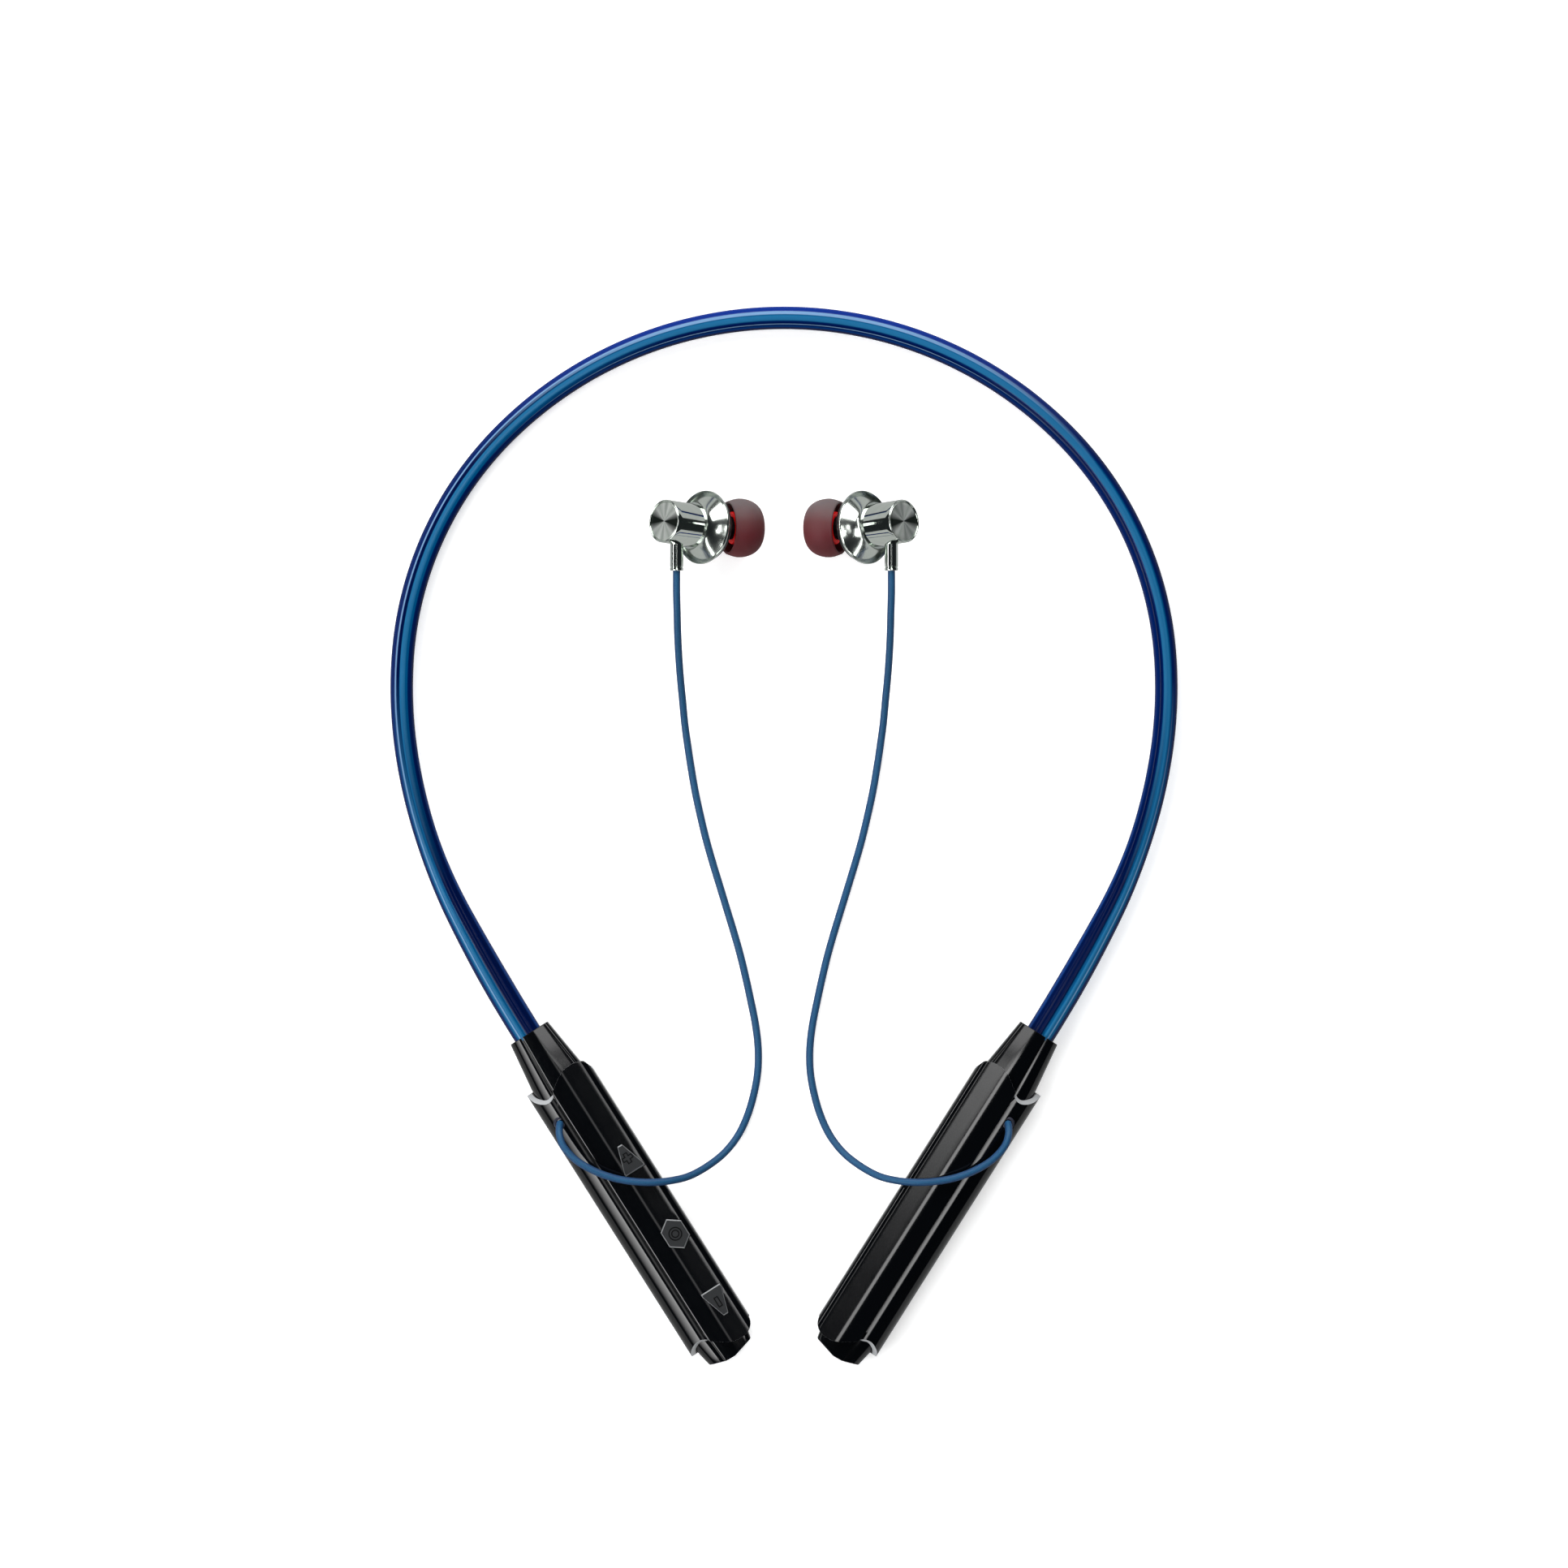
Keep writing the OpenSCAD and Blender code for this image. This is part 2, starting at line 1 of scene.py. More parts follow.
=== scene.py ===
"""Neckband earphones lying on a pale floor, seen from straight above."""

import json
from math import ceil, cos, pi, radians, sin, sqrt

import bpy
from mathutils import Matrix, Vector


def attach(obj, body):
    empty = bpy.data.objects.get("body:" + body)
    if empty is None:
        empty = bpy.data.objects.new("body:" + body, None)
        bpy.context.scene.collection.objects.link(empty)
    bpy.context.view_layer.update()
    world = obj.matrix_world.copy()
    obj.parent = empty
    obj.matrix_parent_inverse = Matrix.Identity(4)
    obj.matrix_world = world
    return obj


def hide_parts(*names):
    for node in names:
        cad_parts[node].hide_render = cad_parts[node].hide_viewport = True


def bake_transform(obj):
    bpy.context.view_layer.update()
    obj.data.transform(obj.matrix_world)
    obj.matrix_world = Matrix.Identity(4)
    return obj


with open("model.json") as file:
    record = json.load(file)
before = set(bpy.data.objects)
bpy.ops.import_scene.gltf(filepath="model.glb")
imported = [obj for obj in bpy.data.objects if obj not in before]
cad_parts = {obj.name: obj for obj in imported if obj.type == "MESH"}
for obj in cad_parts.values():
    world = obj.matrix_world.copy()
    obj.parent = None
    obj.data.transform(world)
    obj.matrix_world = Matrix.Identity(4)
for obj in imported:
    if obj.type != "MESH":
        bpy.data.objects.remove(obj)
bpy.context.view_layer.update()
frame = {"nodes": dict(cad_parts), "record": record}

MM = 0.001
SIDES = {"left": -1, "right": 1}

# ---- driving dimensions, in millimetres, as in the CAD model ----

BAND_ARCS = [(78, 45), (69, 41), (87, 12.5), (102, 19), (330, 4.8)]
CROWN_Y = 102.3
BAND_R = 2.25
BAND_END_R = 2.9
BAND_INTO_COLLAR = 0.05
FLARE_FROM_Y = 2
FLARE_LENGTH = 34
POD_H = 10
POD_W = 13.9
HALF_W = POD_W / 2
POD_ANGLE = radians(32.3)
POD_END = (-43.7, -49.2)
COLLAR_L = 12.3
SHELL_START = -0.8
SHELL_L = 56.3
TONGUE_L = 3.5
TONGUE_R = 3
WALL = 1
BUTTON_X = 3.4
BUTTON_YS = (-18.8, -36.4, -52.2)
BUTTON_PROUD = 0.35
BUTTON_GAP = 0.12
GROMMET_AT = (-4.25, -5.9)
DISC_AT = Vector((-23.6, 61.9, 15.6))
BODY_TILT = radians(133.2)
BODY_YAW = radians(-8)
NOZZLE_TILT = radians(110)
BARREL_R = 4.27
BARREL_L = 8
RIM_S = 11.2
RIM_R = 7.3
STEM_S = 3.47
STEM_R = 1.31
STEM_END_Y = 52.2
TIP_R = 5.8
TIP_BACK = 4.9
TIP_FRONT = 11.4
NOZZLE_R = 2.3
CABLE_D = 1.45

BODY_AXIS = Vector((sin(BODY_TILT) * cos(BODY_YAW), sin(BODY_TILT) * sin(BODY_YAW), cos(BODY_TILT)))
RIM_AT = DISC_AT + RIM_S * BODY_AXIS
STEM_AT = DISC_AT + STEM_S * BODY_AXIS

# The left cable's route from the pod to the earbud's stem; the right one is its mirror image.
CABLE_ROUTE = [
    (-44.1, -56.5, 8.6), (-44.2, -57.4, 9.8), (-44.1, -58.9, 10.9), (-43.3, -61, 11.5),
    (-40.9, -63.6, 11.6), (-37.4, -65.7, 11.6), (-33.6, -67.1, 11.6), (-29.8, -67.8, 11.6),
    (-25.9, -68, 11.3), (-22.2, -67.7, 10.1), (-18.7, -66.9, 8.1), (-15.2, -65.1, 5.5),
    (-11.9, -62.6, 3.2), (-9.2, -59.3, 1.6), (-7.3, -55.4, 0.9), (-6, -51.1, 0.75),
    (-5.2, -46.6, 0.75), (-5.1, -42, 0.75), (-5.6, -37.4, 0.75), (-6.5, -32.8, 0.75),
    (-7.5, -28.2, 0.75), (-8.6, -23.6, 0.75), (-9.9, -19, 0.75), (-11.3, -14.4, 0.75),
    (-12.7, -9.8, 0.75), (-14.1, -5.2, 0.75), (-15.4, -0.6, 0.75), (-16.5, 4, 0.75),
    (-17.5, 8.6, 0.75), (-18.3, 13.2, 0.85), (-19, 17.8, 1.2), (-19.6, 22.3, 2.2),
    (-20, 26.7, 3.8), (-20.4, 31, 5.8), (-20.7, 35.3, 8.1), (-20.9, 39.6, 10.3),
    (-21, 43.9, 12.1), (-21.1, 48.1, 13.05), (STEM_AT.x, STEM_END_Y, STEM_AT.z),
]


# ---- camera ----

def add_camera():
    """A long lens looking straight down, so that lengths read as in a plan."""
    view_width = 309.1 * MM
    view_middle_y = 10.3 * MM
    height = 2.2
    data = bpy.data.cameras.new("camera")
    data.sensor_width = 36
    data.lens = data.sensor_width * (height - POD_H * MM / 2) / view_width
    data.clip_end = 20
    camera = bpy.data.objects.new("camera", data)
    camera.location = (0, view_middle_y, height)
    bpy.context.scene.collection.objects.link(camera)
    bpy.context.scene.camera = camera


add_camera()


# ---- small tools ----

def smooth_step(t):
    """Rises gently from 0 to 1 as t does, and stays level outside."""
    t = min(max(t, 0), 1)
    return t * t * (3 - 2 * t)


def mix(a, b, t):
    return a + (b - a) * t


def catmull(p0, p1, p2, p3, t):
    """A point between p1 and p2 on the smooth curve through four points."""
    return 0.5 * (2 * p1 + (p2 - p0) * t + (2 * p0 - 5 * p1 + 4 * p2 - p3) * t * t
                  + (3 * p1 - p0 - 3 * p2 + p3) * t * t * t)


def smooth_route(points, steps):
    """The route with steps points for each stretch between two given ones."""
    last = len(points) - 1
    out = []
    for i in range(last):
        p0 = points[max(i - 1, 0)]
        p3 = points[min(i + 2, last)]
        for k in range(steps):
            out.append(catmull(p0, points[i], points[i + 1], p3, k / steps))
    out.append(points[last])
    return out


def make_object(name, vertices, faces, material, matrix=None, sharp=35):
    """A mesh object from millimetre points, shaded smooth with sharp edges past an angle in degrees."""
    mesh = bpy.data.meshes.new(name)
    mesh.from_pydata([Vector(v) * MM for v in vertices], [], faces)
    mesh.validate()
    mesh.shade_smooth()
    mesh.set_sharp_from_angle(angle=radians(sharp))
    mesh.materials.append(material)
    piece = bpy.data.objects.new(name, mesh)
    bpy.context.scene.collection.objects.link(piece)
    if matrix is not None:
        piece.matrix_world = matrix
    return piece


def flip_faces(faces):
    """The same faces, seen from their other side."""
    return [tuple(reversed(f)) for f in faces]


def add_bevel(piece, width, segments=2, angle=50, harden=True):
    """Rounds the edges sharper than an angle in degrees by width millimetres."""
    modifier = piece.modifiers.new("bevel", "BEVEL")
    modifier.width = width * MM
    modifier.segments = segments
    modifier.limit_method = "ANGLE"
    modifier.angle_limit = radians(angle)
    modifier.harden_normals = harden
    apply_modifiers(piece)


def cut_holes(piece, cutters):
    """Takes the cutters out of the piece, and removes them from the scene."""
    for cutter in cutters:
        modifier = piece.modifiers.new("hole", "BOOLEAN")
        modifier.object = cutter
        modifier.solver = "EXACT"
    apply_modifiers(piece)
    for cutter in cutters:
        bpy.data.objects.remove(cutter)


def weight_normals(piece):
    """Shades the piece by its largest faces, so that narrow ones don't bend the light on wide ones."""
    modifier = piece.modifiers.new("normals", "WEIGHTED_NORMAL")
    modifier.keep_sharp = True
    apply_modifiers(piece)


def apply_modifiers(piece):
    """Makes the shape that the piece's modifiers give its own."""
    graph = bpy.context.evaluated_depsgraph_get()
    mesh = bpy.data.meshes.new_from_object(piece.evaluated_get(graph))
    piece.modifiers.clear()
    old = piece.data
    piece.data = mesh
    bpy.data.meshes.remove(old)


def set_attribute(piece, name, values):
    """Stores one number for each vertex, for a material to read."""
    attribute = piece.data.attributes.new(name, "FLOAT", "POINT")
    attribute.data.foreach_set("value", values)


def side_matrix(side):
    """The mirror that takes the left half to a side."""
    return Matrix.Diagonal((-SIDES[side], 1, 1, 1))


def bake_mirror(piece):
    """Puts the piece's matrix into its mesh, and turns its faces out again if the matrix mirrors."""
    matrix = piece.matrix_world.copy()
    piece.data.transform(matrix)
    if matrix.determinant() < 0:
        piece.data.flip_normals()
    piece.matrix_world = Matrix.Identity(4)


def unmirror(piece):
    """Takes a mirror out of the piece's frame and into its mesh, and keeps the local Z axis."""
    matrix = piece.matrix_world
    if matrix.determinant() < 0:
        flip = Matrix.Diagonal((1, -1, 1, 1))
        piece.data.transform(flip)
        piece.data.flip_normals()
        piece.matrix_world = matrix @ flip


def grid_faces(rows, columns, closed=True):
    """Quads over rows of points, each row a ring if closed."""
    faces = []
    wrap = columns if closed else columns - 1
    for i in range(rows - 1):
        for k in range(wrap):
            a = i * columns + k
            b = i * columns + (k + 1) % columns
            faces.append((a, b, b + columns, a + columns))
    return faces


def mirrored(points, side):
    """Left-side points, mirrored for the right side."""
    s = -SIDES[side]
    return [(p[0] * s, p[1], p[2]) for p in points]


def faces_for(faces, side):
    """Faces of mirrored points, turned where needed so that they still look outwards."""
    return flip_faces(faces) if SIDES[side] > 0 else faces


def lathe(name, profile, material, matrix, segments=96, sharp=35):
    """Turns (radius, height) points about the local Z axis; a radius of 0 makes a pole."""
    vertices = []
    rings = []
    for r, z in profile:
        if r == 0:
            rings.append([len(vertices)])
            vertices.append((0, 0, z))
        else:
            rings.append(list(range(len(vertices), len(vertices) + segments)))
            for k in range(segments):
                angle = 2 * pi * k / segments
                vertices.append((r * cos(angle), r * sin(angle), z))
    faces = []
    for low, high in zip(rings, rings[1:]):
        for k in range(segments):
            j = (k + 1) % segments
            if len(low) == 1 and len(high) == 1:
                continue
            if len(low) == 1:
                faces.append((low[0], high[j], high[k]))
            elif len(high) == 1:
                faces.append((low[k], low[j], high[0]))
            else:
                faces.append((low[k], low[j], high[j], high[k]))
    return make_object(name, vertices, faces, material, matrix, sharp)


def arc(centre_r, centre_z, radius, from_deg, to_deg, steps):
    """Points along an arc, for a lathe's profile or an outline."""
    out = []
    for k in range(steps + 1):
        angle = radians(mix(from_deg, to_deg, k / steps))
        out.append((centre_r + radius * cos(angle), centre_z + radius * sin(angle)))
    return out


# ---- materials ----

GRAIN_DEPTH = 0.02 * MM
FIBRE_DEPTH = 0.04 * MM
GROOVE_PITCH = 0.16 * MM


class Nodes:
    """A material's node tree with short ways to add and join nodes."""

    def __init__(self, name):
        self.material = bpy.data.materials.new(name)
        self.material.use_nodes = True
        self.tree = self.material.node_tree
        self.shader = self.tree.nodes["Principled BSDF"]

    def add(self, kind, **settings):
        node = self.tree.nodes.new(kind)
        for key, value in settings.items():
            setattr(node, key, value)
        return node

    def link(self, source, target):
        self.tree.links.new(source, target)

    def set(self, **values):
        for key, value in values.items():
            self.shader.inputs[key.replace("_", " ")].default_value = value

    def position(self):
        return self.add("ShaderNodeTexCoord").outputs["Object"]

    def noise(self, scale, detail=4, stretch=None, vector=None):
        """Noise over the object's own position, stretched by three factors if given."""
        source = vector or self.position()
        if stretch:
            mapping = self.add("ShaderNodeMapping")
            mapping.inputs["Scale"].default_value = stretch
            self.link(source, mapping.inputs["Vector"])
            source = mapping.outputs["Vector"]
        noise = self.add("ShaderNodeTexNoise")
        noise.inputs["Scale"].default_value = scale
        noise.inputs["Detail"].default_value = detail
        self.link(source, noise.inputs["Vector"])
        return noise.outputs["Fac"]

    def ramp(self, source, stops, interpolation="LINEAR"):
        """A colour ramp with (place, colour) stops."""
        ramp = self.add("ShaderNodeValToRGB")
        ramp.color_ramp.interpolation = interpolation
        elements = ramp.color_ramp.elements
        while len(elements) < len(stops):
            elements.new(0.5)
        for element, (place, colour) in zip(elements, stops):
            element.position = place
            element.color = (*colour, 1)
        self.link(source, ramp.inputs["Fac"])
        return ramp.outputs["Color"]

    def map(self, source, low, high):
        """Maps 0 to 1 onto low to high."""
        node = self.add("ShaderNodeMapRange")
        node.inputs["To Min"].default_value = low
        node.inputs["To Max"].default_value = high
        self.link(source, node.inputs["Value"])
        return node.outputs["Result"]

    def math(self, operation, source, value=0.0):
        """One step of arithmetic on a socket."""
        node = self.add("ShaderNodeMath", operation=operation)
        node.inputs[1].default_value = value
        self.link(source, node.inputs[0])
        return node.outputs[0]

    def mix_colour(self, factor, a, b, blend="MIX"):
        """Mixes two colours. A mix node's colour sockets are inputs 6 and 7 and output 2."""
        node = self.add("ShaderNodeMix", data_type="RGBA", blend_type=blend)
        for socket, value in ((node.inputs[0], factor), (node.inputs[6], a), (node.inputs[7], b)):
            if isinstance(value, (int, float)):
                socket.default_value = value
            elif isinstance(value, tuple):
                socket.default_value = (*value, 1)
            else:
                self.link(value, socket)
        return node.outputs[2]

    def bump(self, height, strength, distance=GRAIN_DEPTH):
        node = self.add("ShaderNodeBump")
        node.inputs["Strength"].default_value = strength
        node.inputs["Distance"].default_value = distance
        self.link(height, node.inputs["Height"])
        self.link(node.outputs["Normal"], self.shader.inputs["Normal"])

    def attribute(self, name):
        return self.add("ShaderNodeAttribute", attribute_name=name).outputs["Fac"]


def moulded(name, colour, roughness, grain=0.04, coat=0.0, shine=0.5):
    """Moulded plastic or rubber: slight colour drift, uneven gloss and a fine grain."""
    n = Nodes(name)
    n.set(Specular_IOR_Level=shine, Coat_Weight=coat, Coat_Roughness=0.04)
    drift = n.noise(60, 3)
    lighter = tuple(c * 1.25 + 0.0005 for c in colour)
    n.link(n.mix_colour(drift, colour, lighter), n.shader.inputs["Base Color"])
    n.link(n.map(n.noise(220, 5), roughness * 0.85, roughness * 1.2), n.shader.inputs["Roughness"])
    n.bump(n.noise(3600, 3), grain)
    return n.material


def polished(name, colour, roughness):
    """Polished metal with faint wiping marks."""
    n = Nodes(name)
    n.set(Metallic=1.0)
    marks = n.noise(90, 6, stretch=(1, 1, 14))
    darker = tuple(c * 0.9 for c in colour)
    n.link(n.mix_colour(marks, darker, colour), n.shader.inputs["Base Color"])
    n.link(n.map(n.noise(400, 6), roughness * 0.9, roughness * 1.15), n.shader.inputs["Roughness"])
    return n.material


def linear(r, g, b):
    """An 8-bit display colour as a linear one."""
    return tuple(((c / 255 + 0.055) / 1.055) ** 2.4 if c > 10 else c / 255 / 12.92 for c in (r, g, b))


BLACK = (0, 0, 0)
WHITE = (1, 1, 1)
# The band's blues. Navy is its own colour; the rest are painted light and shade: deep navy is painted shade,
# vivid blue a painted lit colour, teal, steel and edge blue painted reflections, and pale the painted
# highlight lines.
NAVY = linear(0, 26, 82)
SHADED_NAVY = linear(0, 14, 58)
LIT_VIVID = linear(0, 38, 122)
REFLECTED_TEAL = linear(0, 72, 118)
REFLECTED_STEEL = linear(30, 98, 142)
HIGHLIGHT_PALE = linear(104, 142, 182)
REFLECTED_EDGE_BLUE = linear(0, 48, 110)


def band_material(side):
    """Glossy navy elastomer whose lengthwise stripe pattern is painted light and shade (painted highlights,
    painted reflections and painted shade), which changes from crown to waist to collar mouth.
    """
    n = Nodes(f"band_elastomer_painted_light_{side}")
    n.set(Specular_IOR_Level=0.06, Coat_Weight=0.06, Coat_Roughness=0.05)
    across = n.attribute("across")
    along = n.attribute("along")
    crown = n.ramp(across, [
        (0, LIT_VIVID), (0.2, LIT_VIVID), (0.23, HIGHLIGHT_PALE), (0.34, HIGHLIGHT_PALE), (0.37, REFLECTED_TEAL), (0.41, REFLECTED_STEEL),
        (0.6, REFLECTED_STEEL), (0.66, NAVY), (0.76, SHADED_NAVY), (0.78, HIGHLIGHT_PALE), (0.81, SHADED_NAVY), (0.88, REFLECTED_EDGE_BLUE),
        (0.93, SHADED_NAVY), (1, SHADED_NAVY)])
    # The painted light differs between the two waists, as the light falls differently on each side.
    if side == "left":
        waist = n.ramp(across, [
            (0, NAVY), (0.2, NAVY), (0.22, HIGHLIGHT_PALE), (0.25, HIGHLIGHT_PALE), (0.28, SHADED_NAVY), (0.4, SHADED_NAVY),
            (0.43, REFLECTED_STEEL), (0.64, REFLECTED_STEEL), (0.67, REFLECTED_TEAL), (0.75, REFLECTED_TEAL), (0.78, NAVY), (1, SHADED_NAVY)])
    else:
        waist = n.ramp(across, [
            (0, SHADED_NAVY), (0.24, NAVY), (0.3, REFLECTED_TEAL), (0.36, REFLECTED_STEEL), (0.6, REFLECTED_STEEL),
            (0.64, NAVY), (0.74, SHADED_NAVY), (0.84, NAVY), (1, NAVY)])
    mouth = n.ramp(across, [
        (0, SHADED_NAVY), (0.09, NAVY), (0.13, REFLECTED_TEAL), (0.19, REFLECTED_STEEL), (0.2, HIGHLIGHT_PALE), (0.23, HIGHLIGHT_PALE), (0.25, REFLECTED_STEEL),
        (0.37, REFLECTED_STEEL), (0.4, REFLECTED_TEAL), (0.45, REFLECTED_TEAL), (0.49, SHADED_NAVY), (0.88, SHADED_NAVY), (0.93, REFLECTED_EDGE_BLUE),
        (1, NAVY)])
    to_waist = n.ramp(along, [(0.12, BLACK), (0.36, WHITE)])
    to_mouth = n.ramp(along, [(0.6, BLACK), (0.82, WHITE)])
    # The painted light and shade pattern, blended from crown to waist to collar mouth.
    stripes = n.mix_colour(to_mouth, n.mix_colour(to_waist, crown, waist), mouth)
    cloud = n.map(n.noise(45, 3), 0.86, 1.1)
    shade = n.add("ShaderNodeCombineColor")
    for channel in range(3):
        n.link(cloud, shade.inputs[channel])
    n.link(n.mix_colour(1.0, stripes, shade.outputs[0], "MULTIPLY"), n.shader.inputs["Base Color"])
    n.link(n.map(n.noise(300, 4), 0.1, 0.17), n.shader.inputs["Roughness"])
    n.bump(n.noise(1600, 3), 0.03)
    return n.material


def cable_material():
    """Blue jacket with fine lengthwise fibres showing through it; its top is painted lighter and its sides
    and underside darker, as painted light and painted shade.
    """
    n = Nodes("cable_jacket")
    n.set(Roughness=0.45, Specular_IOR_Level=0.2)
    around = n.attribute("around")
    along = n.attribute("along")
    # Colour round the tube: painted light on its top, and painted shade on its sides and underside.
    base = n.ramp(around, [
        (0, linear(0, 12, 56)), (0.1, linear(0, 38, 84)), (0.25, linear(6, 66, 104)),
        (0.4, linear(0, 38, 86)), (0.5, linear(0, 12, 54)), (1, linear(0, 12, 56))])
    place = n.add("ShaderNodeCombineXYZ")
    n.link(around, place.inputs[0])
    n.link(along, place.inputs[1])
    fibres = n.noise(1, 6, stretch=(40, 90, 1), vector=place.outputs[0])
    pale = n.ramp(fibres, [(0.42, BLACK), (0.75, WHITE)])
    fleck = n.math("MULTIPLY", pale, 0.42)
    n.link(n.mix_colour(fleck, base, linear(96, 156, 196)), n.shader.inputs["Base Color"])
    n.bump(fibres, 0.25, FIBRE_DEPTH)
    return n.material


# Colours of the end disc's painted highlight sectors: painted shade, a painted middle brightness and a
# painted highlight.
PAINTED_FAN_SHADE = linear(46, 54, 48)
PAINTED_FAN_MID = linear(200, 208, 200)
PAINTED_FAN_HIGHLIGHT = linear(250, 254, 248)


def spun_material():
    """Turned end disc: circular grooves that spread the light, with bright and dark sectors also painted into
    its colour as painted highlights and painted shade, and painted shade in fine rings along the grooves.
    """
    n = Nodes("spun_metal")
    n.set(Metallic=1.0, Roughness=0.32, Anisotropic=0.8)
    tangent = n.add("ShaderNodeTangent", direction_type="RADIAL", axis="Z")
    n.link(tangent.outputs["Tangent"], n.shader.inputs["Tangent"])
    parts = n.add("ShaderNodeSeparateXYZ")
    n.link(n.position(), parts.inputs[0])
    flat = n.add("ShaderNodeCombineXYZ")
    n.link(parts.outputs["X"], flat.inputs["X"])
    n.link(parts.outputs["Y"], flat.inputs["Y"])
    radius = n.add("ShaderNodeVectorMath", operation="LENGTH")
    n.link(flat.outputs[0], radius.inputs[0])
    wave = n.math("SINE", n.math("MULTIPLY", radius.outputs["Value"], 2 * pi / GROOVE_PITCH))
    turn = n.add("ShaderNodeTexGradient", gradient_type="RADIAL")
    n.link(n.position(), turn.inputs[0])
    half_turn = n.math("FRACT", n.math("MULTIPLY", turn.outputs["Fac"], 2))
    # Bright and dark sectors round the disc, painted into its colour as painted highlights and painted shade.
    fans = n.ramp(half_turn, [
        (0, PAINTED_FAN_SHADE), (0.06, PAINTED_FAN_SHADE), (0.22, PAINTED_FAN_HIGHLIGHT), (0.31, PAINTED_FAN_MID), (0.42, PAINTED_FAN_HIGHLIGHT),
        (0.5, PAINTED_FAN_MID), (0.58, PAINTED_FAN_HIGHLIGHT), (0.7, PAINTED_FAN_MID), (0.79, PAINTED_FAN_HIGHLIGHT), (0.94, PAINTED_FAN_SHADE),
        (1, PAINTED_FAN_SHADE)])
    # Painted shade in fine rings that follow the grooves.
    tone = n.map(wave, 0.0, 0.25)
    n.link(n.mix_colour(tone, fans, PAINTED_FAN_SHADE), n.shader.inputs["Base Color"])
    n.bump(wave, 0.15)
    return n.material


def skirt_material():
    """Smoky translucent silicone with painted light: grey-pink on the side towards +Y, painted as where light
    falls, and dark red on the other side, painted as the red core glowing through.
    """
    n = Nodes("smoky_silicone")
    n.set(Roughness=0.6, Specular_IOR_Level=0.25, Subsurface_Weight=0.15, Subsurface_Scale=0.001)
    lit_side_tint = n.attribute("lit_side_tint")
    # Painted light: dark red where the core is painted glowing through, grey-pink where light is painted
    # falling.
    n.link(n.ramp(lit_side_tint, [
        (0.05, linear(88, 30, 34)), (0.35, linear(92, 32, 38)), (0.6, linear(92, 50, 52)),
        (0.9, linear(98, 86, 87))]), n.shader.inputs["Base Color"])
    n.bump(n.noise(2500, 3), 0.05)
    return n.material


MATERIALS = {
    "pod": moulded("pod_gloss", linear(2, 3, 5), 0.09, 0.003),
    # The shell's cut ends are painted light grey as a painted highlight along the rim.
    "cut_edge_highlight": moulded("shell_cut_edge", linear(158, 160, 162), 0.3, 0.05),
    "case": moulded("case_satin", linear(16, 17, 19), 0.38, 0.2),
    "button": moulded("button_matt", linear(28, 30, 32), 0.5, 0.08, shine=0.3),
    # The keys' chamfers are painted light grey as a painted highlight.
    "key_edge_highlight": moulded("button_edge_highlight", linear(112, 114, 116), 0.2, 0.02),
    "symbol": moulded("button_symbol", linear(2, 2, 3), 0.8, 0.02, shine=0.1),
    "grommet": moulded("grommet_rubber", linear(4, 10, 34), 0.45, 0.2),
    "nozzle": moulded("nozzle_black", linear(14, 14, 16), 0.16, 0.03, coat=0.3),
    "core": moulded("red_silicone", linear(255, 0, 0), 0.5, 0.05, shine=0.1),
    "chrome": polished("polished_metal", linear(226, 233, 226), 0.05),
    "soft_chrome": polished("polished_bell", linear(226, 233, 226), 0.17),
    "wire": polished("spring_steel", linear(150, 152, 156), 0.25),
    "copper": polished("copper_wire", linear(190, 110, 70), 0.3),
    "steel": polished("plated_steel", linear(160, 162, 164), 0.22),
    "magnet": polished("magnet_plating", linear(110, 112, 116), 0.3),
    "foil": polished("cell_foil", linear(190, 192, 196), 0.35),
    "board": moulded("board_mask", linear(10, 84, 46), 0.35, 0.1),
    "chip": moulded("chip_resin", linear(26, 26, 28), 0.6, 0.2),
    "film": moulded("driver_film", linear(206, 190, 140), 0.3, 0.05),
    "lens": moulded("light_lens", linear(226, 230, 236), 0.12, 0.02),
    "cable": cable_material(),
    "spun": spun_material(),
    "skirt": skirt_material(),
}
SLOT_MATERIALS = {
    "pod_black": "pod", "case_black": "case", "grommet_rubber": "grommet", "cable_blue": "cable",
    "button_grey": "button", "polished_metal": "chrome", "spun_metal": "spun", "spring_steel": "wire",
    "magnet_grey": "magnet", "mesh_steel": "steel", "copper": "copper", "nozzle_black": "nozzle",
    "film": "film", "tip_red": "core", "tip_smoke": "skirt", "board_green": "board",
    "chip_black": "chip", "lens": "lens", "cell_foil": "foil", "band_blue": "pod",
}


def dress_cad_nodes():
    """Gives every CAD node the material of its slot."""
    slots = {part["node"]: part["material_slot"] for part in frame["record"]["subparts"]}
    for name, piece in frame["nodes"].items():
        piece.data.materials.clear()
        piece.data.materials.append(MATERIALS[SLOT_MATERIALS[slots[name]]])


dress_cad_nodes()


# ---- cables ----

def tube_frames(points):
    """Side and up directions that follow a route without twisting."""
    frames = []
    last = len(points) - 1
    for i, point in enumerate(points):
        along = (points[min(i + 1, last)] - points[max(i - 1, 0)]).normalized()
        side = along.cross(Vector((0, 0, 1))).normalized()
        frames.append((point, side, side.cross(along)))
    return frames


